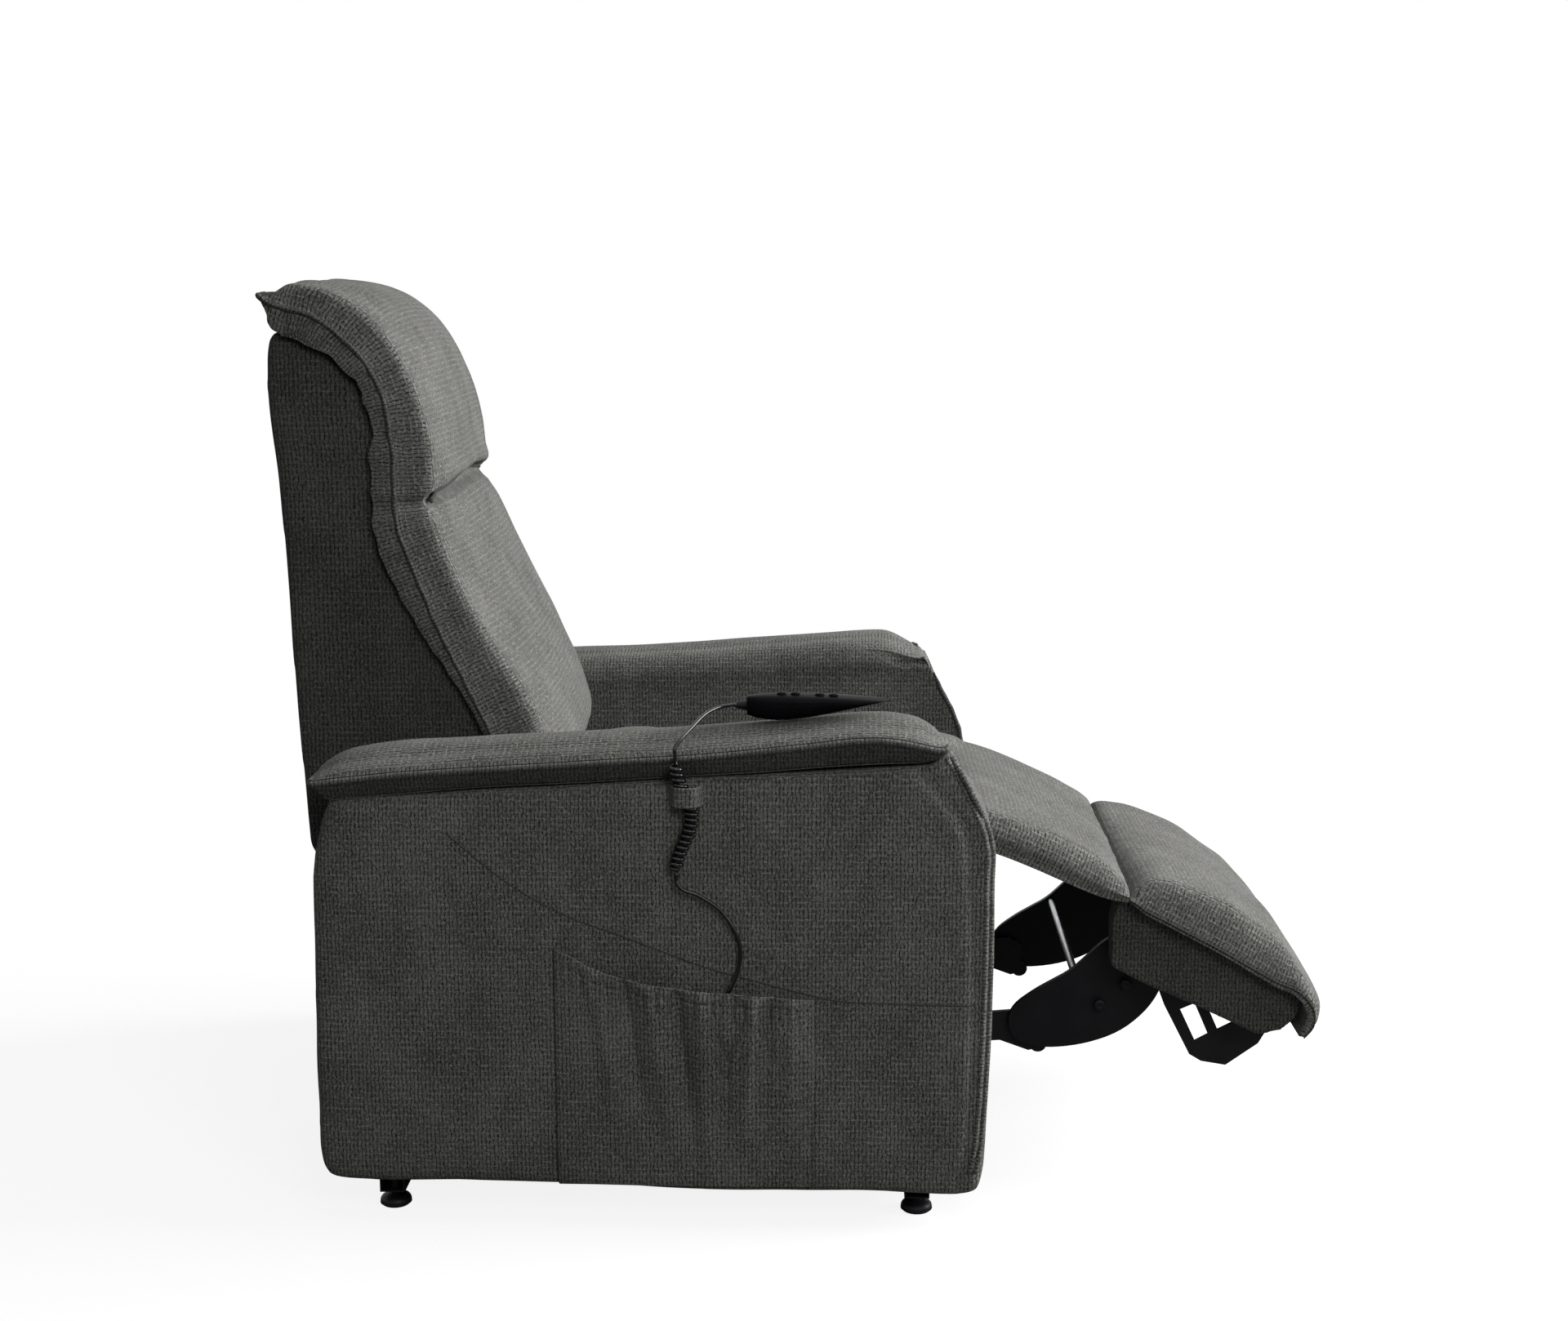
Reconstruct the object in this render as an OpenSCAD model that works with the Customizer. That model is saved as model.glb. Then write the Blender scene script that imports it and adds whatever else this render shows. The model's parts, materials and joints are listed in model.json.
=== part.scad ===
// Lift (riser) recliner chair: a steel base on four glides carries a
// four-bar lift, a seat chassis with two upholstered arms, a reclining back,
// a folding footrest and a corded handset.
// Millimetres.  +X forward, +Y to the sitter's left, +Z up, floor at Z = 0.
// The chair is drawn with the back upright and the footrest raised.

/* [Seat] */
// Clear width between the two arms
seat_w = 500; // [480:5:560]
// Height of the seat cushion's top above the floor
seat_h = 480; // [470:2:500]
// X of the seat cushion's front face
seat_front = 240; // [230:2:250]
// X of the seat cushion's rear face
seat_back = -330; // [-336:2:-320]
// Side gap between a seat or leg cushion and the arms
cushion_gap = 5; // [3:1:12]
// Height of the channels stitched across the seat cushion
channel_d = 4; // [0:1:8]
// Number of channels stitched across the seat cushion
channels = 2; // [0:1:4]

/* [Arms] */
// Width of one arm
arm_w = 130; // [110:5:150]
// X of the arm's rear edge
arm_back = -560; // [-580:2:-550]
// X of the arm's front face
arm_front = 226; // [216:2:236]
// Height of the arm body's top at its rear end
arm_rear_h = 516; // [500:2:530]
// Height of the arm body's top at its front end
arm_front_h = 559; // [546:1:570]
// Height of the arm's lower edge above the floor
arm_clear = 48; // [46:1:60]
// Outward swell of the arm's outer fabric
arm_puff = 14; // [6:1:20]
// Thickness of the padded top of the arm at its crest
pad_t = 44; // [34:1:52]
// Overhang of the arm pad past the arm body on each side
pad_lip = 3; // [0:1:6]
// Diameter of the welt on the arm's front edge and on the pad's seam
welt_d = 7; // [5:0.5:9]
// Thickness of the piping on arm pads and back cushions
piping_d = 5; // [4:0.5:6]

/* [Pocket] */
// Rear edge of the side pocket
pocket_back = -278; // [-300:2:-260]
// Front edge of the side pocket
pocket_front = 17; // [0:1:30]
// Height of the pocket's mouth at its lowest place
pocket_h = 292; // [270:2:310]
// Fall of the pocket's mouth from its rear corner to the middle
pocket_fall = 50; // [30:2:60]
// Depth of the pocket's inside
pocket_gap = 9; // [7:0.5:14]
// Thickness of the pocket's cloth
pocket_t = 2; // [1.5:0.1:3]
// Depth of the gathers along the pocket
gather_d = 2.5; // [0:0.5:4]
// Number of gathers along the pocket
gathers = 9; // [5:1:14]

/* [Back] */
// X of the back's pivot
back_pivot_x = -470; // [-476:1:-464]
// Height of the back's pivot
back_pivot_z = 380; // [376:1:384]
// Height of the crease between headrest and lumbar cushion
crease_h = 850; // [830:2:870]
// Height of the headrest cushion above the crease
head_h = 253; // [230:2:270]
// Side gap between the back cushions and the arms
back_gap = 4; // [3:1:12]
// Width of the sloped boxing on each side of the back cushions
boxing_w = 34; // [20:1:50]
// Recess of the hard shell's side behind the cushion seam
shell_inset = 10; // [8:1:24]

/* [Footrest] */
// Half thickness lost at the side edges of the foot and leg pads
pad_edge = 12; // [6:1:16]
// Thickness of the foot board's side walls
board_wall = 18; // [12:1:24]
// Side inset of the foot board from the leg pad's edge
board_inset = 20; // [14:1:30]
// Thickness of the foot board's deck
deck_t = 16; // [10:1:20]
// Thickness of the link plates
plate_t = 6; // [4:0.5:8]
// Diameter of the cross rod between the curved links
rod_d = 10; // [8:0.5:14]
// Diameter of all link pins
pin_d = 12; // [10:0.5:14]
// Forward reach of the parallel links
link_x = 133; // [128:1:138]
// Drop of the parallel links
link_z = 184; // [180:1:188]

/* [Base] */
// Distance between the front and rear cross tubes
base_l = 629; // [600:5:650]
// X of the front cross tube
base_front = 141; // [136:1:146]
// Distance of a glide from the middle plane
glide_y = 320; // [300:5:330]
// Diameter of a glide
glide_d = 38; // [30:1:50]
// Height of a glide's foot
glide_h = 17; // [12:1:18]
// Height of the base tubes
base_tube_h = 20; // [16:1:22]
// Width of the base tubes
base_tube_w = 30; // [24:1:36]
// Wall of every steel tube
tube_wall = 2; // [1.5:0.1:3]

/* [Lift] */
// Length of the lift arm along X
lift_reach = 300; // [290:2:306]
// Width of a lift arm
lift_arm_w = 36; // [30:1:40]
// Width of a stabiliser link
stab_w = 26; // [22:1:30]
// Radius of the crank that the lift motor pushes
crank_r = 95; // [90:1:100]
// Radius of the horn that the recline motor pulls
horn_r = 105; // [100:1:110]
// Diameter of the motors' outer tubes
motor_tube_d = 34; // [28:1:40]
// Diameter of the motors' rods
motor_rod_d = 20; // [16:1:22]

/* [Handset] */
// Length of the handset
hand_l = 166; // [150:1:180]
// Width of the handset
hand_w = 54; // [44:1:60]
// Height of the handset at its thick end
hand_h = 30; // [24:1:34]
// Width of one button
button_w = 11; // [8:0.5:13]
// Stroke of a button
button_travel = 1.2; // [0.8:0.1:1.6]

/* [Cord] */
// Diameter of the cord
cord_d = 4.5; // [3.5:0.1:5]
// Outer diameter of the curls
curl_d = 17.5; // [15:0.5:19]
// Number of curls
curls = 19; // [12:1:20]
// Height of the curled stretch
curl_len = 136; // [130:1:150]

/* [Hidden] */

// ---- colours ----
cloth = [0.38, 0.38, 0.37];
cloth_dark = [0.27, 0.27, 0.27];
steel_black = [0.11, 0.11, 0.12];
steel_grey = [0.62, 0.63, 0.64];
plastic_black = [0.05, 0.05, 0.055];

fit = 0.3;          // running clearance
seat_fit = 0.4;     // soft pieces to their neighbours

// ---- side planes, all measured from the middle plane ----
arm_in = seat_w / 2 + 2;
arm_out = seat_w / 2 + arm_w;
cushion_y = seat_w / 2 - cushion_gap;
back_y = seat_w / 2 - back_gap;
board_y = cushion_y - board_inset;
foot_link_y = arm_in - 102;
curved_y = foot_link_y + plate_t + 4;
board_ear_y = curved_y + 8 + 3;
lift_arm_y = arm_in - 66;
ear_y = lift_arm_y + plate_t + 4;
stab_y = ear_y + plate_t + 4;
rail_y = arm_in - 62;
rail_w = 25;
bracket_y = arm_in - 34;
back_plate_y = bracket_y + plate_t + 2;

// ---- seat frame levels ----
rail_z = 345;
rail_h = 30;
deck_z = rail_z + rail_h;
web_t = 3;
cushion_z = deck_z + web_t + seat_fit;

// ---- the fold of the footrest ----
fold = [seat_front + 47, seat_h - 34];
link_o = [152, rail_z + rail_h / 2];
link_v = [link_x, -link_z];
link_e = link_o + link_v;
link_s = fold + link_v;
link_tip = link_e + [13, -25];

// ---- lift four-bar ----
pin_f = [100, 80];
pin_p = pin_f + [-lift_reach, 20];
pin_g = [74, 94];
pin_q = [-295, 130];
cross_a = [30, 70];
lift_half = 25;
fork_y = motor_rod_d / 2 + 4;
crank_pin = pin_f + crank_r * [-sin(lift_half), cos(lift_half)];
lift_stroke = 2 * crank_r * sin(lift_half);

// ---- recline ----
back_pivot = [back_pivot_x, back_pivot_z];
recline_half = 19;
horn_pin = back_pivot + horn_r * [-sin(recline_half), -cos(recline_half)];
recline_stroke = 2 * horn_r * sin(recline_half);
lift_motor_y = -60;
recline_motor_y = 60;

base_z = glide_h + 5;
base_top = base_z + base_tube_h;
base_rear = base_front - base_l;

// ---- the line on which the arm pad lies ----
line_x0 = arm_back + 4;
line_x1 = arm_front - 53;
function arm_line(x) =
    arm_rear_h + (arm_front_h - arm_rear_h) * (x - line_x0) / (line_x1 - line_x0);

// =====================================================================
//  Helpers
// =====================================================================
function sum2(a, b, t) = a * (1 - t) + b * t;

// Corner cutting: every pass rounds the closed outline once more.
function cut_corners(p) = [
    for (i = [0 : len(p) - 1])
        let (q = p[(i + 1) % len(p)])
        each [sum2(p[i], q, 0.25), sum2(p[i], q, 0.75)]
];
function smooth(p, n) = n <= 0 ? p : smooth(cut_corners(p), n - 1);

function area2(p) = let (n = len(p))
    [for (i = 0, a = 0; i <= n; a = a + (i < n ? p[i].x * p[(i + 1) % n].y
        - p[(i + 1) % n].x * p[i].y : 0), i = i + 1) a][n];
function flip(p) = [for (i = [len(p) - 1 : -1 : 0]) p[i]];
function ccw(p) = area2(p) < 0 ? flip(p) : p;

function box_mid(p) = let (xs = [for (q = p) q.x], zs = [for (q = p) q.y])
    [(min(xs) + max(xs)) / 2, (min(zs) + max(zs)) / 2];
function box_half(p) = let (xs = [for (q = p) q.x], zs = [for (q = p) q.y])
    [(max(xs) - min(xs)) / 2, (max(zs) - min(zs)) / 2];

// Draws an outline in about its own middle by d on every side, in a frame
// that is turned by ang.
function turn(p, ang) = [for (q = p) [q.x * cos(ang) - q.y * sin(ang),
    q.x * sin(ang) + q.y * cos(ang)]];
function draw_in(p, d, ang = 0) = let (t = turn(p, -ang), c = box_mid(t),
    h = box_half(t), k = [1 - d / h.x, 1 - d / h.y])
    turn([for (q = t) [c.x + (q.x - c.x) * k.x, c.y + (q.y - c.y) * k.y]], ang);

// Stations across the width: [y, share of the edge outline].
function easing(half, soft, n) = [
    for (i = [0 : n]) let (a = 90 * i / n)
        [half - soft * (1 - sin(a)), 1 - cos(a)]
];
function both_sides(st) = concat([for (i = [len(st) - 1 : -1 : 0])
    [-st[i].x, st[i].y]], st);

// Closed loft across Y between a middle outline and an edge outline.
module loft_y(mid, edge, st) {
    n = len(mid);
    m = len(st);
    pts = [for (s = st) for (i = [0 : n - 1])
        let (q = sum2(mid[i], edge[i], s.y)) [q.x, s.x, q.y]];
    sides = [for (j = [0 : m - 2]) for (i = [0 : n - 1])
        let (a = j * n + i, b = j * n + (i + 1) % n)
        each [[a, b, b + n], [a, b + n, a + n]]];
    h = floor(n / 2);
    first = [for (i = [0 : h - 2])
        each [[n - 1 - i, i + 1, i], [n - 1 - i, n - 2 - i, i + 1]]];
    off = (m - 1) * n;
    last = [for (f = first) [f[2] + off, f[1] + off, f[0] + off]];
    polyhedron(pts, concat(sides, first, last), convexity = 6);
}

// Plate between two planes of Y, drawn as an X-Z outline.
module across(y0, y1) {
    translate([0, y1, 0])
        rotate([90, 0, 0])
            linear_extrude(y1 - y0)
                children();
}
module pair() {
    children();
    mirror([0, 1, 0])
        children();
}
module pin(p, y0, y1, d = pin_d) {
    translate([p.x, y1, p.y])
        rotate([90, 0, 0])
            cylinder(d = d, h = y1 - y0, $fn = 48);
}
// Flat bar with round ends between two pins, with bores of diameter bore.
module bar2d(a, b, w, bore) {
    v = b - a;
    difference() {
        union() {
            translate(a)
                rotate(atan2(v.y, v.x))
                    translate([0, -w / 2])
                        square([norm(v), w]);
            for (p = [a, b])
                translate(p)
                    circle(d = w * 1.12, $fn = 64);
        }
        for (p = [a, b])
            translate(p)
                circle(d = bore, $fn = 48);
    }
}
module box_tube_y(x, z, w, h, y0, y1) {
    translate([x - w / 2, y0, z])
        difference() {
            cube([w, y1 - y0, h]);
            translate([tube_wall, -1, tube_wall])
                cube([w - 2 * tube_wall, y1 - y0 + 2, h - 2 * tube_wall]);
        }
}
module box_tube_x(y, z, w, h, x0, x1) {
    translate([x0, y, z])
        difference() {
            cube([x1 - x0, w, h]);
            translate([-1, tube_wall, tube_wall])
                cube([x1 - x0 + 2, w - 2 * tube_wall, h - 2 * tube_wall]);
        }
}

// Round tube swept along a list of points; the frame is carried along.
function unit(v) = v / max(norm(v), 0.0001);
function dirs(p) = let (n = len(p)) [for (i = [0 : n - 1])
    unit((i < n - 1 ? unit(p[i + 1] - p[i]) : [0, 0, 0])
        + (i > 0 ? unit(p[i] - p[i - 1]) : [0, 0, 0]))];
function carried(d, u0) = [for (i = 0, u = u0; i < len(d);
    i = i + 1, u = i < len(d) ? unit(u - (u * d[i]) * d[i]) : u) u];
module sweep_tube(p, dia, sides) {
    n = len(p);
    d = dirs(p);
    seed = abs(d[0].z) < 0.8 ? [0, 0, 1] : [1, 0, 0];
    u = carried(d, unit(seed - (seed * d[0]) * d[0]));
    pts = [for (i = [0 : n - 1]) let (v = cross(d[i], u[i]))
        for (k = [0 : sides - 1]) let (a = 360 * k / sides)
            p[i] + dia / 2 * (cos(a) * u[i] + sin(a) * v)];
    body = [for (i = [0 : n - 2]) for (k = [0 : sides - 1])
        let (a = i * sides + k, b = i * sides + (k + 1) % sides)
        each [[a, b + sides, b], [a, a + sides, b + sides]]];
    first = [for (k = [1 : sides - 2]) [0, k, k + 1]];
    last = [for (f = first) [f[2] + (n - 1) * sides,
        f[1] + (n - 1) * sides, f[0] + (n - 1) * sides]];
    polyhedron(pts, concat(body, first, last), convexity = 8);
}
// Smooth run through hand-set points, k pieces between two of them.
function run_at(a, b, c, d, t) = 0.5 * (2 * b + (c - a) * t
    + (2 * a - 5 * b + 4 * c - d) * t * t
    + (3 * b - a - 3 * c + d) * t * t * t);
function run(p, k) = let (n = len(p)) concat([for (i = [0 : n - 2])
    for (j = [0 : k - 1])
        run_at(p[max(i - 1, 0)], p[i], p[i + 1], p[min(i + 2, n - 1)], j / k)],
    [p[n - 1]]);

// =====================================================================
//  Base
// =====================================================================
module cross_tube(x) {
    difference() {
        union() {
            box_tube_y(x, base_z, base_tube_w, base_tube_h, -glide_y - 20, glide_y + 20);
            for (s = [-1, 1])
                translate([x, s * glide_y, base_z])
                    cylinder(d = 18, h = base_tube_h - tube_wall, $fn = 48);
        }
        for (s = [-1, 1])
            translate([x, s * glide_y, base_z - 1])
                cylinder(d = 10 + 2 * fit, h = base_tube_h - 2, $fn = 48);
    }
}
module base_front_tube() {
    color(steel_black)
        cross_tube(base_front);
}
module base_rear_tube() {
    tower = crank_pin.y - motor_tube_d / 2 - 3;
    color(steel_black) {
        cross_tube(base_rear);
        // cradle of the lift motor, welded to the tube
        for (s = [-1, 1])
            translate([0, lift_motor_y, 0])
                across(s * 21 - 2, s * 21 + 2)
                    difference() {
                        polygon([[base_rear - 14, base_top], [base_rear + 14, base_top],
                            [base_rear + 50, tower + 24], [base_rear + 50, tower + 36],
                            [base_rear + 22, tower + 36], [base_rear - 14, tower - 20]]);
                        translate([base_rear + 36, crank_pin.y])
                            circle(d = pin_d + 2 * fit, $fn = 48);
                    }
    }
}
module base_rails() {
    color(steel_black)
        pair()
            box_tube_x(rail_y, base_z, rail_w, base_tube_h,
                base_rear + base_tube_w / 2, base_front - base_tube_w / 2);
}
module pivot_ears() {
    color(steel_black)
        pair()
            across(ear_y, ear_y + plate_t)
                difference() {
                    polygon([[pin_g.x - 40, base_top], [pin_f.x + 24, base_top],
                        [pin_f.x + 20, pin_f.y + 8], [pin_f.x + 8, pin_f.y + 20],
                        [pin_g.x - 6, pin_g.y + 20], [pin_g.x - 22, pin_g.y + 8]]);
                    for (p = [pin_f, pin_g])
                        translate(p)
                            circle(d = pin_d + 2 * fit, $fn = 48);
                }
}
module glide(x, y) {
    r = glide_d / 2;
    color(plastic_black)
        translate([x, y, 0])
            rotate_extrude($fn = 72)
                polygon(concat([[0, 0], [r * 0.86, 0], [r, glide_h * 0.14]],
                    [for (i = [0 : 8]) let (a = 90 * i / 8)
                        [6 + (r - 6) * cos(a) * 0.98, glide_h * (0.3 + 0.5 * sin(a))]],
                    [[6, glide_h], [5, glide_h], [5, glide_h + base_tube_h],
                        [0, glide_h + base_tube_h]]));
}
module glide_fl() { glide(base_front, glide_y); }
module glide_fr() { glide(base_front, -glide_y); }
module glide_rl() { glide(base_rear, glide_y); }
module glide_rr() { glide(base_rear, -glide_y); }

// =====================================================================
//  Lift
// =====================================================================
module lift_arms() {
    crank_y = lift_motor_y;
    color(steel_black) {
        pair() {
            across(lift_arm_y, lift_arm_y + plate_t)
                bar2d(pin_f, pin_p, lift_arm_w, 2);
            for (p = [pin_f, pin_p])
                pin(p, lift_arm_y + plate_t, ear_y + plate_t + 1);
        }
        pin(cross_a, -lift_arm_y, lift_arm_y, 28);
        for (s = [-1, 1])
            across(crank_y + s * fork_y - 3, crank_y + s * fork_y + 3)
                bar2d(cross_a, crank_pin, 30, 2);
        pin(crank_pin, crank_y - fork_y - 4, crank_y + fork_y + 4);
    }
}
module stabilisers() {
    color(steel_black)
        pair() {
            across(stab_y, stab_y + plate_t)
                bar2d(pin_g, pin_q, stab_w, 2);
            pin(pin_g, ear_y - 1, stab_y);
            pin(pin_q, ear_y - 1, stab_y);
        }
}
// Linear motor: gearbox, motor can, outer tube with a bore for the rod.
module linear_motor(x0, x1, y, z, tail, flip_can) {
    s = sign(x1 - x0);
    color(plastic_black)
        translate([x0, y, z])
            rotate([0, s * 90, 0])
                difference() {
                    union() {
                        translate([0, 0, -4])
                            cylinder(d = motor_tube_d, h = abs(x1 - x0) + 4, $fn = 64);
                        translate([-19, -17, -52])
                            cube([38, 34, 52]);
                        rotate([0, flip_can ? 180 : 0, 0])
                            translate([24, 0, flip_can ? -6 : -46])
                                rotate([0, 90, 0])
                                    translate([0, 0, -30])
                                        cylinder(d = 30, h = 10, $fn = 48);
                        translate([0, 0, tail])
                            rotate([90, 0, 0])
                                cylinder(d = 24, h = 26, center = true, $fn = 48);
                        translate([-8, -13, tail])
                            cube([16, 26, -52 - tail + 2]);
                    }
                    cylinder(d = motor_rod_d + 2 * fit, h = abs(x1 - x0) + 20, $fn = 64);
                    translate([0, 0, tail])
                        rotate([90, 0, 0])
                            cylinder(d = pin_d + 2 * fit, h = 60, center = true, $fn = 48);
                }
}
lift_tube_x0 = base_rear + 110;
lift_tube_x1 = crank_pin.x - 60;
module lift_motor() {
    linear_motor(lift_tube_x0, lift_tube_x1, lift_motor_y, crank_pin.y,
        base_rear + 36 - lift_tube_x0, false);
    color(steel_grey)
        pin([base_rear + 36, crank_pin.y], lift_motor_y - 25, lift_motor_y + 25, pin_d);
}
// Rod with an upright slot for the pin that it drives.
module slotted_rod(x0, x1, y, z, rise) {
    s = sign(x1 - x0);
    color(steel_grey) {
        difference() {
            union() {
                translate([min(x0, x1), y, z])
                    rotate([0, 90, 0])
                        cylinder(d = motor_rod_d, h = abs(x1 - x0) - pin_d, $fn = 64);
                translate([x1 - 13, y - 7, z - 15 + min(0, rise)])
                    cube([26, 14, 30 + abs(rise)]);
            }
            for (k = [0 : 1])
                translate([x1, y, z + rise * k])
                    rotate([90, 0, 0])
                        cylinder(d = pin_d + 4 * fit, h = 40, center = true, $fn = 48);
            translate([x1 - pin_d / 2 - 2 * fit, y - 20, z + min(0, rise)])
                cube([pin_d + 4 * fit, 40, abs(rise)]);
        }
    }
}
lift_sag = crank_r * (1 - cos(lift_half));
recline_sag = horn_r * (1 - cos(recline_half));
module lift_rod() {
    slotted_rod(lift_tube_x0 + 20, crank_pin.x, lift_motor_y, crank_pin.y, lift_sag);
}

// =====================================================================
//  Chassis
// =====================================================================
frame_back = -405;
frame_front = 200;
cross_x = [frame_back + 15, 40, frame_front - 15];
module seat_frame() {
    color(steel_black) {
        pair()
            box_tube_x(rail_y, rail_z, rail_w, rail_h, frame_back, frame_front);
        for (x = cross_x)
            for (s = [[-arm_in, -rail_y - rail_w], [-rail_y, rail_y],
                    [rail_y + rail_w, arm_in]])
                box_tube_y(x, rail_z, 30, rail_h, s[0], s[1]);
        // pins of the footrest's front links
        pair()
            pin(link_o, foot_link_y - 1, rail_y);
        // rear brackets that carry the back's pivots
        pair() {
            translate([0, rail_y + rail_w, 0])
                across(0, bracket_y + plate_t - rail_y - rail_w)
                    translate([frame_back, rail_z + 2])
                        square([24, rail_h - 4]);
            across(bracket_y, bracket_y + plate_t)
                difference() {
                    union() {
                        polygon([[frame_back + 24, rail_z + 2],
                            [frame_back + 24, deck_z - 2],
                            [back_pivot.x + 6, back_pivot.y + 15],
                            [back_pivot.x - 12, back_pivot.y - 12]]);
                        translate(back_pivot)
                            circle(d = 34, $fn = 64);
                    }
                    translate(back_pivot)
                        circle(d = pin_d + 2 * fit, $fn = 48);
                }
        }
    }
}
// Steel plates that hang from the rails and carry the lift's upper pins.
module hangers() {
    color(steel_black)
        pair()
            across(ear_y, ear_y + plate_t)
                difference() {
                    union() {
                        polygon([[pin_q.x - 40, rail_z], [pin_q.x - 14, pin_q.y],
                            [pin_p.x, pin_p.y - 16], [pin_p.x + 17, pin_p.y],
                            [pin_p.x + 60, rail_z]]);
                        for (p = [pin_p, pin_q])
                            translate(p)
                                circle(d = 32, $fn = 64);
                    }
                    for (p = [pin_p, pin_q])
                        translate(p)
                            circle(d = pin_d + 2 * fit, $fn = 48);
                    translate([(pin_p.x + pin_q.x) / 2, (rail_z + pin_q.y) / 2 + 12])
                        scale([0.8, 1.2])
                            circle(d = 80, $fn = 64);
                }
}
// Webbing stretched over the seat frame, front to rear and side to side.
module seat_webbing() {
    n = 4;
    pitch = 2 * rail_y / n;
    color(cloth_dark) {
        for (i = [0 : n - 1])
            translate([frame_back + 4, -rail_y + pitch * (i + 0.5) - 25, deck_z])
                cube([frame_front - frame_back - 8, 50, web_t]);
        for (x = [-300, -180, -60, 60])
            translate([x - 25, -rail_y - 20, deck_z])
                cube([50, 2 * rail_y + 40, web_t]);
    }
}
// Power and control box behind the rear cross tube, with its mains inlet.
module power_box() {
    x0 = frame_back + 30;
    color(plastic_black)
        difference() {
            union() {
                translate([x0, -120, rail_z - 4])
                    cube([112, 96, rail_h + 2]);
                translate([x0 + 112, -100, rail_z])
                    cube([6, 56, rail_h - 6]);
            }
            // inlet with its pins left standing
            translate([x0 + 106, -94, rail_z + 3])
                difference() {
                    cube([20, 28, 18]);
                    for (k = [-1, 0, 1])
                        translate([0, 13 + k * 7, 7 + (k == 0 ? 3 : 0)])
                            cube([8, 2, 4]);
                }
        }
}
recline_tube_x0 = horn_pin.x + 400;
recline_tube_x1 = horn_pin.x + 40 + recline_stroke;
module recline_motor() {
    z = horn_pin.y;
    linear_motor(recline_tube_x0, recline_tube_x1, recline_motor_y, z, -68, true);
    // yoke that hangs the motor from the front cross tube
    color(steel_black) {
        px = recline_tube_x0 + 68;
        pin([px, z], recline_motor_y - 22, recline_motor_y + 22, pin_d);
        for (s = [-1, 1])
            across(recline_motor_y + s * 18 - 3, recline_motor_y + s * 18 + 3)
                polygon([[px - 14, z - 14], [px + 14, z - 14],
                    [cross_x[1] + 13, rail_z], [cross_x[1] - 13, rail_z]]);
    }
}
module recline_rod() {
    slotted_rod(recline_tube_x0 - recline_stroke - 12, horn_pin.x, recline_motor_y,
        horn_pin.y, -recline_sag);
}

// ---- seat cushion ----
module seat_cushion() {
    top = seat_h;
    z0 = cushion_z;
    x1 = seat_front;
    x0 = seat_back;
    pitch = (x1 - x0) / (channels + 1);
    tops = [for (k = [0 : channels]) each concat(
        [[x1 - pitch * k - (k == 0 ? 4 : 14), top - (k == 0 ? 6 : 1)],
        [x1 - pitch * (k + 0.5), top + 2],
        [x1 - pitch * (k + 1) + 14, top - 1]],
        k < channels ? [[x1 - pitch * (k + 1), top - 1 - channel_d]] : [])];
    mid = ccw(smooth(concat([[x0, z0 + 40], [x0 + 2, z0 + 2], [x0 + 40, z0],
        [x1 - 40, z0], [x1 - 2, z0 + 2], [x1, z0 + 40], [x1, top - 34]], tops,
        [[x0 + 2, top - 12]]), 1));
    edge = draw_in(mid, 13);
    color(cloth)
        loft_y(mid, edge, both_sides(easing(cushion_y, 34, 5)));
}

// ---- arms ----
function arm_outline() = let (b = arm_back, f = arm_front, c = arm_clear)
    smooth([
        [b + 5, arm_line(b + 5) - 50], [b + 3, 398], [b - 1, 250], [b - 1, 120],
        [b + 3, c + 24], [b + 16, c + 9], [b + 52, c + 8], [-266, c + 4],
        [-74, c], [118, c], [f - 32, c], [f - 14, c + 6], [f - 8, c + 26],
        [f - 5, 140], [f - 1, 260], [f, 360], [f - 2, 430], [f - 12, 490],
        [f - 26, 532], [f - 42, arm_front_h + 8], [f - 52, arm_front_h + 20],
        [f - 58, arm_front_h + 14], [f - 63, arm_front_h + 1],
        [f - 74, arm_line(f - 74) - seat_fit], [-74, arm_line(-74) - seat_fit],
        [-300, arm_line(-300) - seat_fit], [b + 30, arm_line(b + 30) - seat_fit],
        [b + 8, arm_line(b + 8) - seat_fit - 1]], 2);
// Stations of the arm: flat inner face, swelling outer face.
arm_st = [[-arm_in, 0.12], [-arm_in - 4, 0], [-arm_out + arm_puff, 0],
    [-arm_out + arm_puff * 0.5, 0.16], [-arm_out + arm_puff * 0.2, 0.45],
    [-arm_out, 1], [-arm_out - 1.5, 2.6]];
module arm_body() {
    mid = ccw(arm_outline());
    edge = draw_in(mid, 15);
    color(cloth)
        loft_y(mid, edge, flip(arm_st));
}
module arm_right() { arm_body(); }
module arm_left() {
    mirror([0, 1, 0])
        arm_body();
}

// ---- arm pads ----
pad_y = (arm_in - 4 + arm_out + pad_lip) / 2;
pad_half = (arm_out + pad_lip - arm_in + 4) / 2;
function pad_crest(x) = arm_line(x) + pad_t;
function pad_outline() = let (b = arm_back, e = arm_front - 68)
    smooth([
        [b - 10, arm_line(b) + 16], [b - 2, arm_line(b) + 3], [b + 26, arm_line(b + 26)],
        [-300, arm_line(-300)], [-74, arm_line(-74)],
        [e - 20, arm_line(e - 20)], [e - 4, arm_line(e) + 2], [e + 1, arm_line(e) + 18],
        [e - 1, arm_line(e) + 30], [e - 14, arm_line(e) + 44],
        [e - 40, pad_crest(e - 40) + 3], [e - 100, pad_crest(e - 100) + 4],
        [-90, pad_crest(-90) + 1], [-300, pad_crest(-300) - 2],
        [b + 60, pad_crest(b + 60)], [b + 16, pad_crest(b + 16) - 6],
        [b - 6, arm_line(b) + 28]], 1);
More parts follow.
